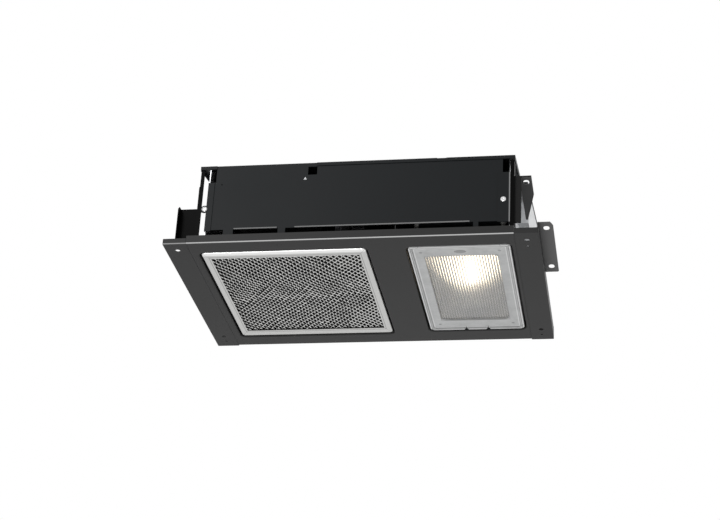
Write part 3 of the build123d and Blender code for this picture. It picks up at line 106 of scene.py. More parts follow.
class LensSizes(bpy.types.PropertyGroup):
    """Sizes of the moulded lamp lens."""

    rim_width: length_property("Rim width", "Width of the outer rim", 5.0)
    side_border: length_property("Side border", "Outer edge to the ribbed window, at the sides", 20.0)
    end_border: length_property("End border", "Outer edge to the ribbed window, at the ends", 31.0)
    wall: length_property("Wall", "Thickness of the lens", 2.5)
    rim_drop: length_property("Rim drop", "Rim below the flat border", 1.4)
    window_step: length_property("Window step", "Ribbed window above the flat border", 2.0)
    corner: length_property("Corner radius", "Corner radius of the lens", 7.0)
    skirt: length_property("Skirt height", "Height of the skirt above the flat border", 3.5)
    ribs: IntProperty(name="Ribs", description="Number of ribs across the window", default=27, min=3)
    rib_height: length_property("Rib height", "Height of the ribs", 0.55)
    boss_length: length_property("Boss length", "Length of the oval finger boss", 17.0)
    boss_width: length_property("Boss width", "Width of the oval finger boss", 10.0)
    boss_height: length_property("Boss height", "Height of the oval finger boss", 0.9)
    tab_width: length_property("Hinge tab", "Width of the lens between its two hinge notches", 27.3)
    notch_width: length_property("Hinge notch", "Width of each hinge notch", 4.7)


class InsertColours(bpy.types.PropertyGroup):
    """Colours and lamp level of the insert."""

    paint: colour_property("Charcoal paint", "Colour of the painted sheets", (0.0056, 0.0066, 0.0074))
    # The face plate with its rails and the ears get lighter copies of the charcoal paint, and the posts and
    # the left bracket a darker one: painted light and painted shade on one paint.
    plate: colour_property("Face plate", "Colour of the face plate and its rails", (0.0165, 0.0165, 0.0165))
    deep: colour_property("Deep black", "Colour of the posts and the left bracket", (0.0012, 0.0012, 0.0012))
    ears: colour_property("Ears", "Colour of the mounting ears", (0.070, 0.070, 0.070))
    zinc: colour_property("Galvanised sheet", "Colour of the bare walls", (0.60, 0.61, 0.62))
    aluminium: colour_property("Aluminium", "Colour of the filter", (0.56, 0.56, 0.55))
    lens: colour_property("Lens", "Colour of the moulded lens", (0.37, 0.375, 0.375))
    window: colour_property("Lens window", "Colour of the lens's ribbed window", (0.77, 0.78, 0.79))
    enamel: colour_property("White enamel", "Colour of the lamp pan", (0.30, 0.30, 0.29))
    lamp: colour_property("Lamp light", "Colour of the lit bulb", (1.0, 0.83, 0.60))
    # Strength of the painted highlight on the folds.
    highlighted: FloatProperty(name="Highlighted folds", description="How bright the folds are rubbed", default=0.45,
                          min=0, max=1)
    lamp_level: FloatProperty(name="Lamp level", description="Strength of the lit bulb", default=6.0, min=0)


class StageSizes(bpy.types.PropertyGroup):
    """Floor, lamps and camera of the studio."""

    floor_drop: length_property("Floor", "Floor below the insert", 2600.0)
    sky: FloatProperty(name="Room light", description="Strength of the light from all round", default=1.2)
    key: FloatProperty(name="Key light", description="Power of the soft box in front", default=32.0,
                       subtype="POWER")
    fill: FloatProperty(name="Fill light", description="Power of the soft box below", default=12.0,
                        subtype="POWER")
    strip: FloatProperty(name="Strip light", description="Power of the long narrow lamp that draws the folds",
                         default=16.0, subtype="POWER")
    lens_length: FloatProperty(name="Camera lens", description="Focal length, 36 mm sensor", default=87.73)


# ---------------------------------------------------------------------------
# Surfaces
# ---------------------------------------------------------------------------
def grid_quads(rows, columns, ring_rows=False, ring_columns=False):
    """Corner numbers of a grid's quads: each cell joins (r, c), (r, c+1), (r+1, c+1), (r+1, c);
    a ring joins its last row or column to its first."""
    row = np.arange(rows if ring_rows else rows - 1)[:, None]
    column = np.arange(columns if ring_columns else columns - 1)[None, :]
    next_row = (row + 1) % rows
    next_column = (column + 1) % columns
    cells = np.stack(np.broadcast_arrays(
        row * columns + column, row * columns + next_column,
        next_row * columns + next_column, next_row * columns + column), axis=-1)
    return cells.reshape(-1, 4)


def put_piece(name, points, quads, body, material, stands_for=None, sharp=40.0):
    """A mesh object at the origin from arrays of points (n, 3) and quads (m, 4), riding on a body, with one
    material.  It may stand for a node of the frame.  Edges sharper than the given degrees stay sharp."""
    mesh = bpy.data.meshes.new(name)
    mesh.vertices.add(len(points))
    mesh.vertices.foreach_set("co", np.ascontiguousarray(points, dtype=np.float32).ravel())
    mesh.loops.add(quads.size)
    mesh.loops.foreach_set("vertex_index", np.ascontiguousarray(quads, dtype=np.int32).ravel())
    mesh.polygons.add(len(quads))
    mesh.polygons.foreach_set("loop_start", np.arange(0, quads.size, 4, dtype=np.int32))
    mesh.update(calc_edges=True)
    mesh.validate()
    tidy = bmesh.new()
    tidy.from_mesh(mesh)
    bmesh.ops.remove_doubles(tidy, verts=tidy.verts, dist=1e-6)
    bmesh.ops.recalc_face_normals(tidy, faces=tidy.faces)
    tidy.to_mesh(mesh)
    tidy.free()
    mesh.shade_smooth()
    mesh.set_sharp_from_angle(angle=radians(sharp))
    mesh.materials.append(material)
    piece = bpy.data.objects.new(name, mesh)
    bpy.context.scene.collection.objects.link(piece)
    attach(piece, body)
    if stands_for:
        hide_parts(stands_for)


def rounded_ring(half_x, half_y, corner, corner_steps, side_steps):
    """Points of rounded rectangles, one row each: four corner arcs, centre at (half - corner), joined by
    evenly divided straight sides.  half_x, half_y and corner are arrays of the same length."""
    half_x, half_y, corner = (np.asarray(value, float)[:, None] for value in (half_x, half_y, corner))
    arcs = []
    for turn, (side_x, side_y) in enumerate(((1, 1), (-1, 1), (-1, -1), (1, -1))):
        angle = radians(90 * turn) + np.linspace(0, np.pi / 2, corner_steps)[None, :]
        arcs.append(np.stack((side_x * (half_x - corner) + corner * np.cos(angle),
                              side_y * (half_y - corner) + corner * np.sin(angle)), axis=-1))
    share = np.linspace(0, 1, side_steps + 2)[1:-1][None, :, None]
    parts = []
    for turn in range(4):
        start, end = arcs[turn][:, -1:], arcs[(turn + 1) % 4][:, :1]
        parts += [arcs[turn], start + (end - start) * share]
    return np.concatenate(parts, axis=1)


def turned_surface(profile, centre, axis, around):
    """A surface of revolution: each profile point (radius, height) is carried round the axis through
    the centre; rows are profile points, columns are turns."""
    profile = np.asarray(profile, float)
    axis = Vector(axis).normalized()
    across = axis.orthogonal().normalized()
    third = axis.cross(across)
    turn = np.linspace(0, 2 * np.pi, around, endpoint=False)
    circle = np.cos(turn)[:, None] * np.array(across) + np.sin(turn)[:, None] * np.array(third)
    points = (np.array(centre) + profile[:, 0, None, None] * circle[None]
              + profile[:, 1, None, None] * np.array(axis))
    return points.reshape(-1, 3), grid_quads(len(profile), around, ring_columns=True)


def closed_sheet(lower, upper):
    """Points and quads of a sheet between two faces, each (rows, columns, 3): every row runs over the lower
    face and back over the upper one, and a strip of quads closes the first row and the last."""
    rows, columns = lower.shape[:2]
    points = np.concatenate((lower, upper[:, ::-1]), axis=1)
    there = np.arange(columns - 1)
    back = 2 * columns - 1 - there
    strip = np.stack((there, there + 1, back - 1, back), axis=-1)
    quads = (grid_quads(rows, 2 * columns, ring_columns=True), strip, strip + (rows - 1) * 2 * columns)
    return points.reshape(-1, 3), np.concatenate(quads)


def smooth_step(value):
    """The curve 3t^2 - 2t^3 of a value held between 0 and 1."""
    value = np.clip(value, 0, 1)
    return value * value * (3 - 2 * value)


def strand_paths(sizes, span, shift):
    """Sections of the strands of a slit sheet, as arrays x, y, z (strand, step, corner).  Strand k runs as
    y = k*pitch/2 + (-1)^k * pitch/4 * w(x), where w is a rounded zigzag of period pitch_x, so neighbours meet
    at its peaks and openings lie between them.  The section is a flat rectangle, leaned as the sheet is
    stretched, by an angle that sways with a product of sines."""
    steps_per_pitch, roundness, sway = 6, 1.25, 0.22
    columns = int(2 * span / sizes.pitch_x * steps_per_pitch) + 1
    along = np.linspace(-span, span, columns)
    outermost = int(2 * span / sizes.pitch_y) + 1
    strands = np.arange(-outermost, outermost + 1)[:, None]
    wave = np.clip(roundness * np.sin(2 * np.pi * along / sizes.pitch_x), -1, 1)
    side = np.where(strands % 2 == 0, 1.0, -1.0)
    path_y = strands * sizes.pitch_y / 2 + side * wave[None] * sizes.pitch_y / 4
    swaying = sway * np.sin(along[None] / (11 * MM) + shift) * np.sin(path_y / (15 * MM) - shift)
    lean = (sizes.strand_tilt + swaying)[..., None]
    half, thick = sizes.strand_width / 2, sizes.strand_thickness / 2
    section = np.array(((-half, -thick), (half, -thick), (half, thick), (-half, thick)))
    y = path_y[..., None] + section[:, 0] * np.cos(lean) - section[:, 1] * np.sin(lean)
    z = section[:, 0] * np.sin(lean) + section[:, 1] * np.cos(lean)
    return np.broadcast_to(along[None, :, None], y.shape), y, z


def strand_layer(sizes, name, rise, turn, shift, material, stands_for):
    """One layer of slit mesh: the strands of strand_paths, bent by slow sines, turned in their plane, dimpled
    by a product of sines and cut off at the core's sides, where the quads that collapse are left out."""
    centre, reach = (CORE_LOW + CORE_HIGH) / 2, (CORE_HIGH - CORE_LOW) / 2
    x, y, z = strand_paths(sizes, np.hypot(reach[0], reach[1]), shift)
    bend_x, bend_y, ripple = 2.4 * MM, 2.6 * MM, 0.9 * MM
    x = x + bend_x * np.sin(y / (23 * MM) + shift)
    y = y + bend_y * np.sin(x / (27 * MM) + 2.1 * shift) + ripple * np.sin(x / (9.5 * MM) + y / (14 * MM))
    turned_x = x * np.cos(turn) - y * np.sin(turn)
    turned_y = x * np.sin(turn) + y * np.cos(turn)
    dimple = sizes.dimple * np.sin(turned_x / (7.3 * MM) + shift) * np.sin(turned_y / (9.1 * MM) + shift)
    inner = reach - 0.4 * MM
    points = np.stack((centre[0] + np.clip(turned_x, -inner[0], inner[0]),
                       centre[1] + np.clip(turned_y, -inner[1], inner[1]),
                       MESH_BOTTOM + rise + z + dimple), axis=-1)
    strands, columns, corners = points.shape[:3]
    starts = np.arange(strands)[:, None, None] * columns * corners
    quads = (grid_quads(columns, corners, ring_columns=True)[None] + starts).reshape(-1, 4)
    points = points.reshape(-1, 3)
    corner_points = points[quads]
    spread = corner_points.max(axis=1) - corner_points.min(axis=1)
    least_x, least_y, least_z = 1e-5, 1e-6, 1e-5
    quads = quads[(spread[:, 0] > least_x) & (spread[:, 1] > least_y) | (spread[:, 2] > least_z)]
    used, quads = np.unique(quads, return_inverse=True)
    quads = quads.reshape(-1, 4)
    put_piece(name, points[used], quads, "filter", material, stands_for, sharp=50.0)


# ---------------------------------------------------------------------------
# Nodes of the finishes
# ---------------------------------------------------------------------------
def add_node(tree, kind, inputs, **settings):
    """A shader node with its settings.  Each input, named or numbered, is set to a value or linked from a
    socket."""
    node = tree.nodes.new("ShaderNode" + kind)
    for name, value in settings.items():
        setattr(node, name, value)
    for name, value in inputs.items():
        if isinstance(value, bpy.types.NodeSocket):
            tree.links.new(value, node.inputs[name])
        else:
            node.inputs[name].default_value = value
    return node


def add_math(tree, operation, *values):
    """A Math node whose inputs are sockets or numbers."""
    return add_node(tree, "Math", dict(enumerate(values)), operation=operation).outputs[0]


def chain(tree, operation, *values):
    """A Math operation of two inputs carried through several sockets or numbers."""
    return reduce(lambda so_far, value: add_math(tree, operation, so_far, value), values)


def swing(tree, noise, amount, base):
    """base + amount * (noise - 0.5), for a noise between 0 and 1."""
    return add_math(tree, "MULTIPLY_ADD", add_math(tree, "SUBTRACT", noise, 0.5), amount, base)


def add_noise(tree, vector, scale, detail):
    """A Noise Texture read at a vector."""
    return add_node(tree, "TexNoise", {"Vector": vector, "Scale": scale, "Detail": detail,
                                       "Roughness": 0.55}).outputs["Fac"]


def add_range(tree, value, from_low, from_high, to_low, to_high):
    """A Map Range node, held to its limits."""
    return add_node(tree, "MapRange", {"Value": value, "From Min": from_low, "From Max": from_high,
                                       "To Min": to_low, "To Max": to_high}).outputs["Result"]


def add_blend(tree, share, first, second):
    """A colour Mix node."""
    inputs = {"Factor": share, "A": first, "B": second}
    return add_node(tree, "Mix", inputs, data_type="RGBA").outputs["Result"]


def thin_line(tree, value, place, width):
    """One where a value is at a place, falling to zero at the given width each side."""
    apart = add_math(tree, "ABSOLUTE", add_math(tree, "SUBTRACT", value, place))
    return add_range(tree, apart, 0.0, width, 1.0, 0.0)


def opaque(colour):
    """A colour with full alpha."""
    return (colour[0], colour[1], colour[2], 1.0)


def sheet_grain(group, inside):
    """Sheet grain: a slow mottle changes colour and roughness; a fine grain changes the colour by half as
    much and gives a height."""
    slow = add_noise(group, inside["Vector"], inside["Mottle Scale"], 4.0)
    fine = add_noise(group, inside["Vector"], inside["Grain Scale"], 2.0)
    shade = swing(group, slow, inside["Mottle"], 1.0)
    shade = swing(group, fine, add_math(group, "MULTIPLY", inside["Mottle"], 0.5), shade)
    return shade, swing(group, slow, inside["Spread"], inside["Roughness"]), fine


def zinc_spangle(group, inside):
    """Zinc spangle: Voronoi crystals a few millimetres wide, bent by noise, each a little lighter, darker or
    smoother."""
    bend_scale, bend, rough_spread = 60.0, 6.0 * MM, 0.16
    wobble = add_node(group, "TexNoise", {"Vector": inside["Vector"], "Scale": bend_scale}).outputs["Color"]
    bent = add_node(group, "VectorMath", {0: wobble, 1: (bend,) * 3, 2: inside["Vector"]},
                    operation="MULTIPLY_ADD").outputs["Vector"]
    crystals = add_node(group, "TexVoronoi", {"Vector": bent, "Scale": inside["Crystal Scale"]})
    parts = add_node(group, "SeparateColor", {"Color": crystals.outputs["Color"]}).outputs
    shade = swing(group, parts["Red"], inside["Contrast"], 1.0)
    return shade, swing(group, parts["Green"], rough_spread, inside["Roughness"]), parts["Blue"]


def rolled_lines(group, inside):
    """Rolled metal: noise, stretched into fine lines where the three scales differ, changes colour, roughness
    and height."""
    rough_spread = 0.2
    inputs = {0: inside["Vector"], 1: inside["Stretch"]}
    stretched = add_node(group, "VectorMath", inputs, operation="MULTIPLY").outputs["Vector"]
    lines = add_noise(group, stretched, 1.0, 3.0)
    shade = swing(group, lines, inside["Contrast"], 1.0)
    return shade, swing(group, lines, rough_spread, inside["Roughness"]), lines


GROUP_PATTERNS = {
    "sheet_grain": (sheet_grain, (("Mottle", "Float", 0.2), ("Mottle Scale", "Float", 14.0),
                                  ("Grain Scale", "Float", 900.0), ("Spread", "Float", 0.1))),
    "zinc_spangle": (zinc_spangle, (("Crystal Scale", "Float", 120.0), ("Contrast", "Float", 0.25))),
    "rolled_lines": (rolled_lines, (("Stretch", "Vector", (30.0, 900.0, 900.0)),
                                    ("Contrast", "Float", 0.16))),
}


def finish_group(name):
    """The named node group, made on first use.  It takes Vector, Colour, Roughness and its pattern's own
    inputs, and gives out the colour scaled by the pattern's shade, the roughness and a height."""
    if name in bpy.data.node_groups:
        return bpy.data.node_groups[name]
    pattern, own_inputs = GROUP_PATTERNS[name]
    group = bpy.data.node_groups.new(name, "ShaderNodeTree")
    inputs = (("Vector", "Vector", (0.0, 0.0, 0.0)), ("Colour", "Color", (0.5, 0.5, 0.5, 1.0)), *own_inputs,
              ("Roughness", "Float", 0.4))
    for label, kind, value in inputs:
        socket = group.interface.new_socket(name=label, in_out="INPUT", socket_type="NodeSocket" + kind)
        socket.default_value = value
    for label, kind in (("Colour", "Color"), ("Roughness", "Float"), ("Height", "Float")):
        group.interface.new_socket(name=label, in_out="OUTPUT", socket_type="NodeSocket" + kind)
    inside = group.nodes.new("NodeGroupInput").outputs
    outside = group.nodes.new("NodeGroupOutput").inputs
    shade, roughness, height = pattern(group, inside)
    colour = add_node(group, "VectorMath", {0: inside["Colour"], "Scale": shade}, operation="SCALE")
    group.links.new(colour.outputs["Vector"], outside["Colour"])
    group.links.new(roughness, outside["Roughness"])
    group.links.new(height, outside["Height"])
    return group


def start_material(name, group_name, values, bump, shader_values):
    """A material with one finish group on Object coordinates, which feeds the Principled BSDF and a Bump of
    the given strength and distance."""
    material = bpy.data.materials.new(name)
    material.use_nodes = True
    tree = material.node_tree
    place = add_node(tree, "TexCoord", {}).outputs["Object"]
    finish = add_node(tree, "Group", {"Vector": place, **values}, node_tree=finish_group(group_name))
    relief = add_node(tree, "Bump", {"Strength": bump[0], "Distance": bump[1],
                                     "Height": finish.outputs["Height"]})
    shader = tree.nodes["Principled BSDF"].inputs
    tree.links.new(finish.outputs["Colour"], shader["Base Color"])
    tree.links.new(finish.outputs["Roughness"], shader["Roughness"])
    tree.links.new(relief.outputs["Normal"], shader["Normal"])
    for socket, value in shader_values.items():
        shader[socket].default_value = value
    return material


def paint_over(tree, mask, colour):
    """Cover the base colour that a material has so far with another colour, by a mask."""
    base = tree.nodes["Principled BSDF"].inputs["Base Color"]
    tree.links.new(add_blend(tree, mask, base.links[0].from_socket, opaque(colour)), base)


def split_place(tree):
    """The three Object coordinates of a material made by start_material."""
    place = tree.nodes["Texture Coordinate"].outputs["Object"]
    return add_node(tree, "SeparateXYZ", {"Vector": place}).outputs


def edge_distances(tree, low, high):
    """Distances of a point in from the nearer side, on X, and from the nearer end, on Y, of a box."""
    axes = split_place(tree)
    distances = []
    for number, axis in enumerate("XY"):
        from_middle = add_math(tree, "SUBTRACT", axes[axis], float(low[number] + high[number]) / 2)
        away = add_math(tree, "ABSOLUTE", from_middle)
        distances.append(add_math(tree, "SUBTRACT", float(high[number] - low[number]) / 2, away))
    return distances


# ---------------------------------------------------------------------------
# Materials
# ---------------------------------------------------------------------------
# Painted highlight: the light grey laid on folds and edges.
FOLD_HIGHLIGHT = (0.75, 0.75, 0.75)


def grain_material(name, colour, roughness, mottle=0.15, mottle_scale=22.0, grain_scale=900.0, spread=0.1,
                   bump=(0.1, 0.0003), **shader_values):
    """Enamel, rubber, porcelain, coat or clear moulding: a plain body with slow mottle and fine grain.
    Further sockets of the shader are given by name, with underscores for spaces."""
    sockets = {socket.replace("_", " "): value for socket, value in shader_values.items()}
    return start_material(name, "sheet_grain", {
        "Colour": opaque(colour), "Mottle": mottle, "Mottle Scale": mottle_scale, "Grain Scale": grain_scale,
        "Roughness": roughness, "Spread": spread}, bump, sockets)


def metal_material(name, colour, roughness, stretch, contrast=0.16, metallic=1.0, bump=(0.06, 0.0002)):
    """Bare rolled, drawn or turned metal with fine lines."""
    return start_material(name, "rolled_lines", {
        "Colour": opaque(colour), "Stretch": stretch, "Contrast": contrast, "Roughness": roughness},
        bump, {"Metallic": metallic})


def paint_material(name, colour, specular=0.1):
    """Charcoal powder coat: satin, with a fine orange peel."""
    return grain_material(name, colour, 0.42, mottle=0.35, mottle_scale=9.0, grain_scale=700.0, spread=0.12,
                          bump=(0.12, 0.0004), Specular_IOR_Level=specular)


def fold_material(node, name, colour, specular, depth, height, share, fold_colour):
    """Charcoal powder coat with a share of another colour on a fold: where a point lies within the depth of
    the node's front and within the height of its bottom.  The colour is a painted highlight on the folds of
    the face plate, the left rail and the front wall, and the darker shaded black on the upper ear's front
    edge."""
    material = paint_material(name, colour, specular)
    tree = material.node_tree
    low = limits(node)[0]
    axes = split_place(tree)
    masks = [add_range(tree, axes[axis], float(start) + 0.8 * reach, float(start) + reach, 1.0, 0.0)
             for axis, start, reach in (("Y", low[1], depth), ("Z", low[2], height))]
    paint_over(tree, chain(tree, "MULTIPLY", *masks, share), fold_colour)
    return material


def strip_material(colours):
    """Charcoal powder coat with a painted highlight in a line up the strip, close to its right edge."""
    material = paint_material("strip_coat", colours.paint)
    tree = material.node_tree
    place = float(limits("right_corner_strip")[1][0]) - 0.9 * MM
    line = thin_line(tree, split_place(tree)["X"], place, 1.2 * MM)
    paint_over(tree, add_math(tree, "MULTIPLY", line, 0.6 * colours.highlighted), FOLD_HIGHLIGHT)
    return material


def zinc_material(name, colour):
    """Bare galvanised sheet with a small spangle."""
    return start_material(name, "zinc_spangle", {
        "Colour": opaque(colour), "Crystal Scale": 170.0, "Contrast": 0.16, "Roughness": 0.4},
        (0.05, 0.0003), {"Metallic": 0.85})


def right_wall_material(colours):
    """Galvanised sheet with its front fold, 1.5 mm deep, darkened to the charcoal colour."""
    material = zinc_material("right_wall_sheet", colours.zinc)
    tree = material.node_tree
    front = float(limits("right_wall")[0][1])
    mask = add_range(tree, split_place(tree)["Y"], front + 1.5 * MM, front + 1.8 * MM, 1.0, 0.0)
    paint_over(tree, mask, colours.paint)
    return material


def filter_frame_material(colours, sizes):
    """Aluminium frame: rolled lines, a painted highlight as a band lightened towards white at the front, dark
    mitre lines from the outer to the inner corners, and a dark fold line outside the window, painted shade in
    the crease.
    With a and b the distances in from the sides and ends, the mitre is where a / side border equals b / end
    border, and the fold follows the smaller of the two."""
    material = metal_material("filter_frame_aluminium", colours.aluminium, 0.34, (160.0,) * 3, 0.12, 0.9,
                              (0.25, 0.0004))
    tree = material.node_tree
    fold_place, fold_share, line_share, line_depth = 0.76, 0.85, 0.75, 2.0
    distances = edge_distances(tree, FILTER_LOW, FILTER_HIGH)
    shares = [add_math(tree, "DIVIDE", distance, border)
              for distance, border in zip(distances, (sizes.side_border, sizes.end_border))]
    nearest = add_math(tree, "MINIMUM", *shares)
    on_frame = add_range(tree, nearest, 0.98, 1.02, 1.0, 0.0)
    mitre = thin_line(tree, add_math(tree, "SUBTRACT", *shares), 0.0, 0.045)
    mitre = add_math(tree, "MULTIPLY", mitre, on_frame)
    # The fold line is painted shade in the crease; the mitre lines are dark joints.
    fold = add_math(tree, "MULTIPLY", thin_line(tree, nearest, fold_place, 0.08), fold_share)
    line = add_math(tree, "MAXIMUM", mitre, fold)
    front = float(FILTER_LOW[1])
    # Painted highlight: the front band of the frame lightened towards white.
    highlight_band = add_range(tree, split_place(tree)["Y"], front + 6.5 * MM, front + 9.0 * MM, 0.75, 0.0)
    paint_over(tree, highlight_band, (0.98, 0.98, 0.97))
    paint_over(tree, add_math(tree, "MULTIPLY", line, line_share), (0.10, 0.10, 0.10))
    height = add_math(tree, "MULTIPLY_ADD", line, -line_depth, tree.nodes["Group"].outputs["Height"])
    tree.links.new(height, tree.nodes["Bump"].inputs["Height"])
    return material


def lens_material(name, colour, roughness, transmission, grain=0.1, mottle=0.10):
    """Moulded clear lens: faintly mottled, with soft flow marks in its surface."""
    return grain_material(name, colour, roughness, mottle=mottle, mottle_scale=40.0, grain_scale=260.0,
                          spread=0.08, bump=(grain, 0.0005), Transmission_Weight=transmission, IOR=1.49)


def lens_border_material(colours, sizes):
    """The lens's border: painted highlights on the rim and the step, and dark lines beside them and round the
    window, painted shade at the rim's groove, at the step and at the window's recessed edge; dark lines across
    the corners, and a pressed ring near each corner.  The distances in from the two sides are dx and dy; a
    line follows the smaller of them, a corner line runs where dx + dy is constant, and a ring keeps its
    distance from one point."""
    material = lens_material("lens_border", colours.lens, 0.30, 0.12, mottle=0.55)
    tree = material.node_tree
    distances = edge_distances(tree, LENS_LOW, LENS_HIGH)
    nearest = add_math(tree, "MINIMUM", *distances)
    shares = [add_math(tree, "DIVIDE", distance, border)
              for distance, border in zip(distances, (sizes.side_border, sizes.end_border))]
    rim_groove, flat_edge, corner_sum = 2.9 * MM, sizes.rim_width + 0.2 * MM, 2.9 * sizes.rim_width
    rim_light, step_light = 1.2 * MM, 7.2 * MM
    ring_place, ring_radius = (16.0 * MM, 18.0 * MM), 1.2 * MM
    bright_share, dark_share = 0.55, 0.75
    # Dark line round the window's recessed edge: painted shade.
    window = thin_line(tree, add_math(tree, "MINIMUM", *shares), 0.985, 0.03)
    corner = thin_line(tree, add_math(tree, "ADD", *distances), corner_sum, 0.7 * MM)
    near_rim = add_range(tree, nearest, 8.0 * MM, 9.0 * MM, 1.0, 0.0)
    corner = add_math(tree, "MULTIPLY", corner, near_rim)
    # Dark lines at the rim's groove and at the step to the flat border: painted shade.
    moulded = [thin_line(tree, nearest, place, 0.6 * MM) for place in (rim_groove, flat_edge)]
    from_ring = add_math(tree, "SQRT", add_math(tree, "ADD", *(
        add_math(tree, "POWER", add_math(tree, "SUBTRACT", distance, place), 2.0)
        for distance, place in zip(distances, ring_place))))
    ring = thin_line(tree, from_ring, ring_radius, 1.5 * MM)
    dark = chain(tree, "MAXIMUM", window, corner, *moulded, ring)
    # Painted highlights along the rim and the step.
    bright = add_math(tree, "MAXIMUM", thin_line(tree, nearest, rim_light, 1.2 * MM),
                      thin_line(tree, nearest, step_light, 0.9 * MM))
    paint_over(tree, add_math(tree, "MULTIPLY", bright, bright_share), (0.85, 0.85, 0.85))
    paint_over(tree, add_math(tree, "MULTIPLY", dark, dark_share), (0.05, 0.05, 0.05))
    return material


def lens_window_material(colours, sizes):
    """The lens's window: each rib is a little darker in its valley, by 0.22 - 0.22 cos(2 pi x / pitch),
    painted shade in the valleys.
    """
    material = lens_material("lens_window", colours.window, 0.14, 0.85, 0.02)
    tree = material.node_tree
    pitch = float(LENS_HIGH[0] - LENS_LOW[0] - 2 * sizes.side_border) / sizes.ribs
    from_middle = add_math(tree, "SUBTRACT", split_place(tree)["X"], float(LENS_LOW[0] + LENS_HIGH[0]) / 2)
    wave = add_math(tree, "COSINE", add_math(tree, "MULTIPLY", from_middle, 2 * np.pi / pitch))
    valley_share = 0.22
    valley = add_math(tree, "MULTIPLY_ADD", wave, -valley_share, valley_share)
    paint_over(tree, valley, (0.16, 0.17, 0.17))
    return material


def pan_material(colours):
    """Enamel inside the pan; its flange and its outside are given the charcoal colour as painted shade.  A
    point lies inside where it is further in than half a sheet from the pan's top and walls, which stand in
    from the flange's edge."""
    material = grain_material("pan_enamel", colours.enamel, 0.35, mottle=0.06)
    tree = material.node_tree
    low, high = limits("lamp_pan")
    flange = 9.9 * MM
    top = float(high[2])
    masks = [add_range(tree, split_place(tree)["Z"], top - 0.5 * MM, top - 0.3 * MM, 1.0, 0.0)]
    insets = (flange + 0.8 * MM, flange + 3.5 * MM)
    masks += [add_range(tree, distance, inset, inset + 0.2 * MM, 0.0, 1.0)
              for distance, inset in zip(edge_distances(tree, low, high), insets)]
    outside_shade = add_math(tree, "SUBTRACT", 1.0, chain(tree, "MULTIPLY", *masks))
    paint_over(tree, outside_shade, colours.paint)
    return material


def bulb_material(colours):
    """Lit frosted bulb: the light falls off a little towards the neck."""
    material = grain_material("lit_bulb", (0.95, 0.93, 0.88), 0.35, 0.05, 30.0, 500.0, 0.05, (0.05, 0.0002),
                              Emission_Strength=colours.lamp_level)
    tree = material.node_tree
    low, high = limits("bulb_glass")
    fade = add_range(tree, split_place(tree)["Y"], float(low[1]), float(high[1]), 1.0, 0.35)
    glow = add_blend(tree, fade, (0.0, 0.0, 0.0, 1.0), opaque(colours.lamp))
    tree.links.new(glow, tree.nodes["Principled BSDF"].inputs["Emission Color"])
    return material


def finish_node(node, material):
    """Put one material on a node of the frame."""
    slots = frame["nodes"][node].data.materials
    slots.clear()
    slots.append(material)


def finish_slot(slot, material):
    """Put one material on each node of the frame whose record names this slot."""
    for part in frame["record"]["subparts"]:
        if part["material_slot"] == slot:
            finish_node(part["node"], material)


# ---------------------------------------------------------------------------
# Operators: one for each piece or group of like pieces
# ---------------------------------------------------------------------------
class INSERT_OT_painted_sheets(bpy.types.Operator):
    """Give the face plate, rails, front wall, roof, brackets and ears their charcoal powder coat, with lighter
    and darker copies of it as painted light and painted shade, and painted highlights on the folds
    """

    bl_idname = "insert.painted_sheets"
    bl_label = "Painted sheets"

    def execute(self, context):
        colours = context.scene.insert_colours
        finish_slot("black_paint", paint_material("charcoal_powder_coat", colours.paint))
        highlight_share = colours.highlighted
        # The face plate, the left rail and the front wall get a painted highlight on their folds; the upper
        # ear's front edge is darkened to the shaded black.
        folds = (  # node, material, colour, specular level, depth, height, share, colour of the fold
            ("face_plate", "plate_powder_coat", colours.plate, 0.13, 1.5 * MM, 1.4 * MM, highlight_share, FOLD_HIGHLIGHT),
            ("left_rail", "left_rail_coat", colours.plate, 0.13, 1.5 * MM, 1.2 * MM, 0.6 * highlight_share, FOLD_HIGHLIGHT),
            ("front_wall", "wall_powder_coat", colours.paint, 0.1, 0.9 * MM, 60 * MM, 0.4 * highlight_share, FOLD_HIGHLIGHT),
            ("upper_ear", "upper_ear_coat", colours.ears, 0.15, 1.5 * MM, 100 * MM, 2.2 * highlight_share, colours.deep),
        )
        for node, *values in folds:
            finish_node(node, fold_material(node, *values))
        # Lighter copies of the charcoal coat on the right rail and the lower ear: painted light.
        finish_node("right_rail", paint_material("right_rail_coat", colours.plate, 0.13))
        finish_node("lower_ear", paint_material("ear_coat", colours.ears, 0.15))
        finish_node("right_corner_strip", strip_material(colours))
        # A darker copy of the charcoal coat on the posts and the left bracket: painted shade.
        deep = paint_material("shaded_black_coat", colours.deep, 0.03)
        for node in ("left_bracket", "left_post", "right_post"):
            finish_node(node, deep)
        return {"FINISHED"}


class INSERT_OT_bare_sheets(bpy.types.Operator):
    """Give the walls, collar, damper and wiring cover their zinc finish, the scroll and the sheets inside a
    zinc darkened as painted shade, and the pan its enamel with painted shade outside
    """

    bl_idname = "insert.bare_sheets"
    bl_label = "Bare sheets and lamp pan"

    def execute(self, context):
        colours = context.scene.insert_colours
        finish_slot("galvanised", zinc_material("galvanised_sheet", colours.zinc))
        finish_node("right_wall", right_wall_material(colours))
        # Painted shade: the scroll, the filter seat, the partition and the motor bracket get the zinc darkened
        # to a twentieth, so they show dark through the front slots.
        shade_share = 0.05
        shaded_zinc = zinc_material("shaded_zinc_sheet", [shade_share * part for part in colours.zinc])
        for node in ("scroll_wrap", "scroll_left_side", "scroll_right_side", "filter_seat", "partition",
                     "motor_bracket"):
            finish_node(node, shaded_zinc)
        finish_node("lamp_pan", pan_material(colours))
        return {"FINISHED"}


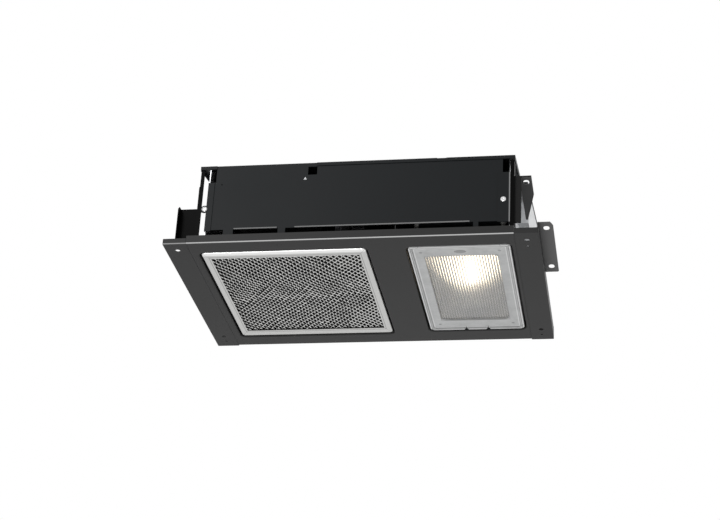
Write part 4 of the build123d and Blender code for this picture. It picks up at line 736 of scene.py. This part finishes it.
class INSERT_OT_small_parts(bpy.types.Operator):
    """Finish the motor, shaft, pins, springs, rivets, screws, socket, bulb cap and bushings"""

    bl_idname = "insert.small_parts"
    bl_label = "Motor and small parts"

    def execute(self, context):
        finishes = {
            "spring_steel": metal_material("spring_strip", (0.36, 0.36, 0.37), 0.3, (900.0, 60.0, 900.0)),
            "zinc_screws": metal_material("zinc_plate", (0.66, 0.67, 0.68), 0.25, (400.0, 400.0, 400.0)),
            "turned_steel": metal_material("ground_steel", (0.55, 0.55, 0.56), 0.25, (1200.0, 90.0, 90.0)),
            # The motor case is nearly black, far darker than its steel, so that it shows dark through the
            # front slots: painted shade.
            "motor_case": metal_material("motor_case_steel", (0.03, 0.03, 0.032), 0.38, (500.0, 60.0, 60.0)),
            "motor_stack": metal_material("stator_laminations", (0.16, 0.16, 0.17), 0.5, (2200.0, 12.0, 12.0),
                                          contrast=0.7, metallic=0.7),
            "bulb_cap_metal": metal_material("bulb_cap_brass", (0.72, 0.58, 0.32), 0.3, (90.0, 700.0, 90.0)),
            "porcelain": grain_material("porcelain", (0.82, 0.81, 0.77), 0.18, mottle=0.05, Coat_Weight=0.5),
            "black_rubber": grain_material("black_rubber", (0.03, 0.03, 0.03), 0.7, mottle=0.3,
                                           bump=(0.3, 0.0003)),
        }
        for slot, material in finishes.items():
            finish_slot(slot, material)
        finish_node("leaf_rivets", paint_material("rivet_coat", context.scene.insert_colours.paint))
        return {"FINISHED"}


class INSERT_OT_front_screws(bpy.types.Operator):
    """Build the two pan-head screws of the front with their cross recesses"""

    bl_idname = "insert.front_screws"
    bl_label = "Front screws"

    def execute(self, context):
        low, high = limits("front_screws")
        radius = (high[2] - low[2]) / 2
        across, upward, outward = self.screw(radius, high[1] - low[1])
        middle = (high[2] + low[2]) / 2
        points, quads = [], []
        for number, x in enumerate((low[0] + radius, high[0] - radius)):
            place = np.stack((x + across, low[1] - outward, middle + upward), axis=-1)
            points.append(place.reshape(-1, 3))
            quads.append(grid_quads(*across.shape, ring_columns=True) + number * across.size)
        zinc = metal_material("bright_screw_zinc", (0.66, 0.66, 0.66), 0.22, (400.0,) * 3)
        put_piece("front_screw_pair", np.concatenate(points), np.concatenate(quads), "housing",
                  zinc, "front_screws", 35.0)
        return {"FINISHED"}

    def screw(self, radius, length):
        """One screw about its axis, as arrays across, upward and outward of its crown's top.  The crown is
        height * sqrt(1 - (r / radius)^3), less a cross recess whose depth falls with the distance from the
        nearer arm's middle and towards the arms' ends.  The shank follows the crown as a straight tail."""
        height, shank, recess = 2.0 * MM, 1.9 * MM, 1.7 * MM
        arm_width, arm_reach, arm_end = 0.24 * radius, 0.62 * radius, 0.15 * radius
        rows, around = 26, 96
        turn = np.linspace(0, 2 * np.pi, around, endpoint=False)[None, :]
        from_axis = np.linspace(0, 1, rows)[:, None] * radius
        across, upward = from_axis * np.cos(turn), from_axis * np.sin(turn)
        from_arm = np.minimum(np.abs(across), np.abs(upward)) / arm_width
        depth = np.clip(1.6 - from_arm * 1.6, 0, 1) * np.clip((arm_reach - from_axis) / arm_end, 0, 1)
        crown = height * np.sqrt(1 - (from_axis / radius) ** 3) - recess * depth
        tail = np.array(((radius, 0.0), (shank, 0.0), (shank, height - length), (0.0, height - length)))
        across = np.concatenate((across, tail[:, :1] * np.cos(turn)))
        upward = np.concatenate((upward, tail[:, :1] * np.sin(turn)))
        return across, upward, np.concatenate((crown, tail[:, 1:] + 0 * turn)) - height


class INSERT_OT_filter(bpy.types.Operator):
    """Build the layers of slit mesh and finish the filter's frame"""

    bl_idname = "insert.filter"
    bl_label = "Grease filter"

    def execute(self, context):
        sizes = context.scene.insert_filter
        colours = context.scene.insert_colours
        # Strong noise in the strands' colour stands in for glints: painted glints.
        glint_scale, glint_contrast = 330.0, 1.9
        # The front layer's aluminium is lightened to 1.2 times its colour, a painted light, and the middle,
        # back and packed layers are darkened to 0.02 and 0.012 of it as painted shade.
        bright, shaded_middle, shaded = (
            metal_material(name, [share * part for part in colours.aluminium], roughness, (glint_scale,) * 3,
                           glint_contrast)
            for name, share, roughness in (
                ("slit_mesh_aluminium", 1.2, 0.30), ("inner_mesh_aluminium", 0.02, 0.45),
                ("packed_mesh_aluminium", 0.012, 0.55)))
        layers = (
            ("filter_mesh_front", 1.3 * MM, 0.0, 0.3, bright, "filter_mesh_face"),
            ("filter_mesh_middle", 2.9 * MM, radians(0.8), 0.9, shaded_middle, None),
            ("filter_mesh_back", 4.3 * MM, radians(-1.2), 2.1, shaded, None),
        )
        for layer in layers:
            strand_layer(sizes, *layer)
        self.packed_layers(MESH_BOTTOM + 5.6 * MM, shaded)
        finish_node("filter_frame", filter_frame_material(colours, sizes))
        return {"FINISHED"}

    def packed_layers(self, level, material):
        """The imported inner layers: a closed sheet, its lower face at z = level + rise * crumple(x, y), where
        crumple is a product of sines of unlike periods plus a slanting sine, and its upper face one
        thickness higher."""
        rows, columns, margin, thickness, rise = 120, 104, 0.4 * MM, 0.6 * MM, 0.45 * MM
        x = np.linspace(CORE_LOW[0] + margin, CORE_HIGH[0] - margin, columns)[None, :]
        y = np.linspace(CORE_LOW[1] + margin, CORE_HIGH[1] - margin, rows)[:, None]
        crumple = np.sin(x / (1.9 * MM)) * np.sin(y / (2.3 * MM))
        crumple = crumple + 0.7 * np.sin(x / (3.1 * MM) + y / (4.3 * MM))
        x, y, z = np.broadcast_arrays(x, y, level + rise * crumple)
        points, quads = closed_sheet(np.stack((x, y, z), axis=-1), np.stack((x, y, z + thickness), axis=-1))
        put_piece("filter_mesh_pack", points, quads, "filter", material,
                  "filter_mesh_core")


class INSERT_OT_lens(bpy.types.Operator):
    """Build the moulded lamp lens: its stepped border, its finger boss, its ribbed window and its knuckle"""

    bl_idname = "insert.lens"
    bl_label = "Lamp lens"

    def execute(self, context):
        sizes = context.scene.insert_lens
        colours = context.scene.insert_colours
        boss_material = lens_material("lens_boss", [0.6 * part for part in colours.lens], 0.22, 0.1)
        knuckle_material = lens_material("lens_knuckle", colours.lens, 0.30, 0.12)
        pieces = (
            ("lens_border", self.border(sizes), lens_border_material(colours, sizes), 28.0),
            ("lens_boss", self.boss(sizes), boss_material, 35.0),
            ("lens_window", self.window(sizes), lens_window_material(colours, sizes), 60.0),
            ("lens_knuckle", self.knuckle(sizes), knuckle_material, 30.0),
        )
        for name, (points, quads), material, sharp in pieces:
            put_piece(name, points.reshape(-1, 3), quads, "lens", material, "lens", sharp)
        return {"FINISHED"}

    def border(self, sizes):
        """The border: a closed profile of (inset at the sides, inset at the ends, height, corner radius)
        carried round rounded rectangles, from the outer rim in to the window and back over the top.  Where
        the two hinge notches are, it is cut off at a line in front of the rod."""
        rim = LENS_LOW[2]
        flat = rim + sizes.rim_drop
        top = flat + sizes.wall
        step = flat + sizes.window_step
        width, wall, corner = sizes.rim_width, sizes.wall, sizes.corner
        inner = corner - 2.5 * MM
        rim_rows = (
            (0.0, top, corner), (0.0, rim + 1.0 * MM, corner), (0.1 * MM, rim + 0.5 * MM, corner),
            (0.5 * MM, rim + 0.1 * MM, corner), (1.0 * MM, rim, corner), (2.6 * MM, rim, corner),
            (2.9 * MM, rim + 0.35 * MM, corner), (3.2 * MM, rim, corner - 1.0 * MM),
            (width - 0.6 * MM, rim, inner), (width - 0.15 * MM, rim + 0.2 * MM, inner),
            (width + 0.1 * MM, flat - 0.3 * MM, inner), (width + 0.6 * MM, flat, inner),
        )
        window_rows = (
            (-1.2 * MM, flat, corner), (-0.4 * MM, flat - 0.12 * MM, corner),
            (0.0, flat + 0.25 * MM, corner - 1.0 * MM), (0.1 * MM, step - 0.2 * MM, corner - 1.0 * MM),
            (0.3 * MM, step + wall, corner - 1.0 * MM), (-2.2 * MM, step + wall, corner),
            (-2.6 * MM, top, corner),
        )
        skirt_rows = (
            (width + wall, top, inner - 0.5 * MM), (width + wall, top + sizes.skirt, inner - 0.5 * MM),
            (width, top + sizes.skirt, inner), (width, top, inner),
        )
        profile = [(inset, inset, z, radius) for inset, z, radius in rim_rows]
        profile += [(sizes.side_border + past, sizes.end_border + past, z, radius)
                    for past, z, radius in window_rows]
        profile += [(inset, inset, z, radius) for inset, z, radius in skirt_rows]
        side, end, height, radius = np.array(profile).T
        centre, half = (LENS_LOW + LENS_HIGH) / 2, (LENS_HIGH - LENS_LOW) / 2
        ring = rounded_ring(half[0] - side, half[1] - end, radius, corner_steps=9, side_steps=60)
        x, y = centre[0] + ring[..., 0], centre[1] + ring[..., 1]
        across = np.abs(x - centre[0])
        in_notch = (across > sizes.tab_width / 2) & (across < sizes.tab_width / 2 + sizes.notch_width)
        notch_floor = (ROD_LOW[1] + ROD_HIGH[1]) / 2 - 4.15 * MM
        y = np.where(in_notch & (y > notch_floor), notch_floor, y)
        points = np.stack((x, y, np.broadcast_to(height[:, None], x.shape)), axis=-1)
        return points, grid_quads(*x.shape, ring_rows=True, ring_columns=True)

    def boss(self, sizes):
        """The oval finger boss: a shallow dome, drop = height * (1 - r^2)^(1/2), over an ellipse."""
        around, steps, sunk = 40, 8, 0.3 * MM
        flat = LENS_LOW[2] + sizes.rim_drop
        middle_x = (LENS_LOW[0] + LENS_HIGH[0]) / 2
        middle_y = LENS_LOW[1] + (sizes.rim_width + sizes.end_border) / 2
        share = np.sin(np.linspace(0.02, 1, steps) * np.pi / 2)[::-1, None]
        turn = np.linspace(0, 2 * np.pi, around, endpoint=False)[None, :]
        x = middle_x + share * np.cos(turn) * sizes.boss_length / 2
        y = middle_y + share * np.sin(turn) * sizes.boss_width / 2
        z = flat - sizes.boss_height * np.sqrt(np.clip(1 - share ** 2, 0, 1)) + 0 * turn
        dome = np.stack((x, y, z), axis=-1)
        back = dome[:1].copy()
        back[..., 2] = flat + sunk
        centre = np.broadcast_to(np.array((middle_x, middle_y, flat + sunk)), back.shape)
        tip = np.broadcast_to(np.array((middle_x, middle_y, flat - sizes.boss_height)), back.shape)
        points = np.concatenate((centre, back, dome, tip))
        return points, grid_quads(len(points), around, ring_columns=True)

    def window(self, sizes):
        """The ribbed window: the upper face is flat; the lower face drops by
        height * (0.5 + 0.5 cos(2 pi x / pitch))^0.8, faded to nothing at its ends; the width follows the
        rounded corners, so x = middle + u * reach(y)."""
        centre, half = (LENS_LOW + LENS_HIGH) / 2, (LENS_HIGH - LENS_LOW) / 2
        reach_x = half[0] - sizes.side_border
        reach_y = half[1] - sizes.end_border
        corner = sizes.corner - 1.0 * MM
        pitch = 2 * reach_x / sizes.ribs
        level = LENS_LOW[2] + sizes.rim_drop + sizes.window_step
        steps_per_rib, corner_steps, side_steps = 8, 12, 24
        end_fade, side_fade = 4.5 * MM, 1.0 * MM
        straight = reach_y - corner
        ends = np.sin(np.linspace(0, np.pi / 2, corner_steps)) * corner
        y = np.unique(np.concatenate((-straight - ends, np.linspace(-straight, straight, side_steps),
                                      straight + ends)))[:, None]
        inset = np.clip(np.abs(y) - straight, 0, corner)
        width = reach_x - corner + np.sqrt(np.clip(corner ** 2 - inset ** 2, 0, None))
        x = np.linspace(-1, 1, sizes.ribs * steps_per_rib + 1)[None, :] * width
        near_end = np.clip((reach_y - np.abs(y)) / end_fade, 0, 1)
        fade = np.sqrt(1 - (1 - near_end) ** 2) * smooth_step((width - np.abs(x)) / side_fade)
        rib = (0.5 + 0.5 * np.cos(2 * np.pi * (x / pitch))) ** 0.8
        lower_z = level - sizes.rib_height * rib * fade
        x, y = np.broadcast_arrays(centre[0] + x, centre[1] + y)
        return closed_sheet(np.stack((x, y, lower_z), axis=-1),
                            np.stack((x, y, np.full_like(x, level + sizes.wall)), axis=-1))

    def knuckle(self, sizes):
        """The hinge knuckle: a tube round the rod, its profile (radius, place along the rod) turned about the
        rod's axis."""
        bore = (ROD_HIGH[2] - ROD_LOW[2]) / 2 + 0.05 * MM
        outer, bevel = 2.9 * MM, 0.3 * MM
        half = sizes.tab_width / 2 - 0.2 * MM
        profile = ((bore, -half), (outer - bevel, -half), (outer, -half + bevel), (outer, half - bevel),
                   (outer - bevel, half), (bore, half), (bore, -half))
        return turned_surface(profile, (ROD_LOW + ROD_HIGH) / 2, (1, 0, 0), 28)


class INSERT_OT_lamp(bpy.types.Operator):
    """Light the bulb behind the lens"""

    bl_idname = "insert.lamp"
    bl_label = "Lit bulb"

    def execute(self, context):
        finish_node("bulb_glass", bulb_material(context.scene.insert_colours))
        return {"FINISHED"}


class INSERT_OT_stage(bpy.types.Operator):
    """Set the pale floor, the room light, the soft boxes and the camera"""

    bl_idname = "insert.stage"
    bl_label = "Stage"

    def execute(self, context):
        scene = context.scene
        sizes = scene.insert_stage
        self.floor(scene, sizes)
        self.room(scene, sizes)
        self.soft_box(scene, "key_box", (-1.3, -2.7, 1.7), (-0.2, -0.17, 0.1), 1.0, 1.0, sizes.key)
        self.soft_box(scene, "fill_box", (-0.6, -2.0, -1.9), (0.0, 0.0, 0.0), 1.8, 1.8, sizes.fill)
        self.soft_box(scene, "strip_box", (-0.45, -2.3, -1.35), (0.0, -0.17, 0.0), 1.6, 0.14, sizes.strip)
        self.camera(scene, sizes)
        scene.view_settings.view_transform = "Standard"
        return {"FINISHED"}

    def floor(self, scene, sizes):
        """A flat square grid far below the insert, pale and faintly mottled."""
        steps, reach = 9, 9.0
        side = np.linspace(-reach, reach, steps)
        x, y = np.meshgrid(side, side)
        points = np.stack((x, y, np.full_like(x, -sizes.floor_drop)), axis=-1).reshape(-1, 3)
        mesh = bpy.data.meshes.new("pale_floor")
        mesh.from_pydata(points.tolist(), [], grid_quads(steps, steps).tolist())
        mesh.materials.append(grain_material(
            "pale_floor", (0.86, 0.86, 0.86), 0.8, mottle=0.03, mottle_scale=3.0, grain_scale=60.0,
            spread=0.05, bump=(0.02, 0.001), Specular_IOR_Level=0.2))
        floor = bpy.data.objects.new("pale_floor", mesh)
        scene.collection.objects.link(floor)

    def room(self, scene, sizes):
        """White to the camera, to reflections and through glass; an even light on everything else."""
        scene.world = scene.world or bpy.data.worlds.new("room")
        scene.world.use_nodes = True
        tree = scene.world.node_tree
        tree.nodes.clear()
        paths = add_node(tree, "LightPath", {}).outputs
        seen = chain(tree, "MAXIMUM", paths["Is Camera Ray"], paths["Is Glossy Ray"],
                     paths["Is Transmission Ray"])
        even = add_node(tree, "Background", {"Strength": sizes.sky})
        white = add_node(tree, "Background", {"Color": (1.0, 1.0, 1.0, 1.0), "Strength": 1.0})
        mix = add_node(tree, "MixShader", {"Fac": seen, 1: even.outputs["Background"],
                                           2: white.outputs["Background"]})
        add_node(tree, "OutputWorld", {"Surface": mix.outputs["Shader"]})

    def soft_box(self, scene, name, place, target, width, height, power):
        """A rectangular area lamp that faces a target."""
        lamp = bpy.data.lights.new(name, "AREA")
        lamp.shape = "RECTANGLE"
        lamp.size = width
        lamp.size_y = height
        lamp.energy = power
        box = bpy.data.objects.new(name, lamp)
        box.location = place
        box.rotation_euler = (Vector(target) - Vector(place)).to_track_quat("-Z", "Y").to_euler()
        scene.collection.objects.link(box)

    def camera(self, scene, sizes):
        """The camera stands in front of the insert and below it, and looks up at its underside."""
        data = bpy.data.cameras.new("camera")
        data.lens = sizes.lens_length
        data.sensor_width = 36.0
        data.sensor_fit = "HORIZONTAL"
        data.clip_start, data.clip_end = 0.05, 60.0
        camera = bpy.data.objects.new("camera", data)
        place = (0.39455, -2.25205, -1.10881)
        turned_left, tipped_up, roll = radians(10.46549), radians(26.93740), radians(3.13144)
        camera.matrix_world = (Matrix.Translation(place) @ Matrix.Rotation(turned_left, 4, "Z")
                               @ Matrix.Rotation(radians(90) + tipped_up, 4, "X")
                               @ Matrix.Rotation(roll, 4, "Z"))
        scene.collection.objects.link(camera)
        scene.camera = camera


class INSERT_PT_panel(bpy.types.Panel):
    """Buttons and sizes of the range hood insert"""

    bl_idname = "INSERT_PT_panel"
    bl_label = "Hood insert"
    bl_space_type = "VIEW_3D"
    bl_region_type = "UI"
    bl_category = "Hood insert"

    def draw(self, context):
        layout = self.layout
        for operator in OPERATORS:
            layout.operator(operator.bl_idname)
        for name, _ in GROUPS:
            group = getattr(context.scene, name)
            box = layout.box()
            for size in group.__annotations__:
                box.prop(group, size)


OPERATORS = (INSERT_OT_painted_sheets, INSERT_OT_bare_sheets, INSERT_OT_small_parts, INSERT_OT_front_screws,
             INSERT_OT_filter, INSERT_OT_lens, INSERT_OT_lamp, INSERT_OT_stage)
GROUPS = (("insert_filter", FilterSizes), ("insert_lens", LensSizes), ("insert_colours", InsertColours),
          ("insert_stage", StageSizes))


def register():
    for name, group in GROUPS:
        bpy.utils.register_class(group)
        setattr(bpy.types.Scene, name, PointerProperty(type=group))
    for item in (*OPERATORS, INSERT_PT_panel):
        bpy.utils.register_class(item)


def unregister():
    for item in (INSERT_PT_panel, *reversed(OPERATORS)):
        bpy.utils.unregister_class(item)
    for name, group in reversed(GROUPS):
        delattr(bpy.types.Scene, name)
        bpy.utils.unregister_class(group)


def main():
    register()
    bpy.ops.insert.painted_sheets()
    bpy.ops.insert.bare_sheets()
    bpy.ops.insert.small_parts()
    bpy.ops.insert.front_screws()
    bpy.ops.insert.filter()
    bpy.ops.insert.lens()
    bpy.ops.insert.lamp()
    bpy.ops.insert.stage()


if __name__ == "__main__":
    main()
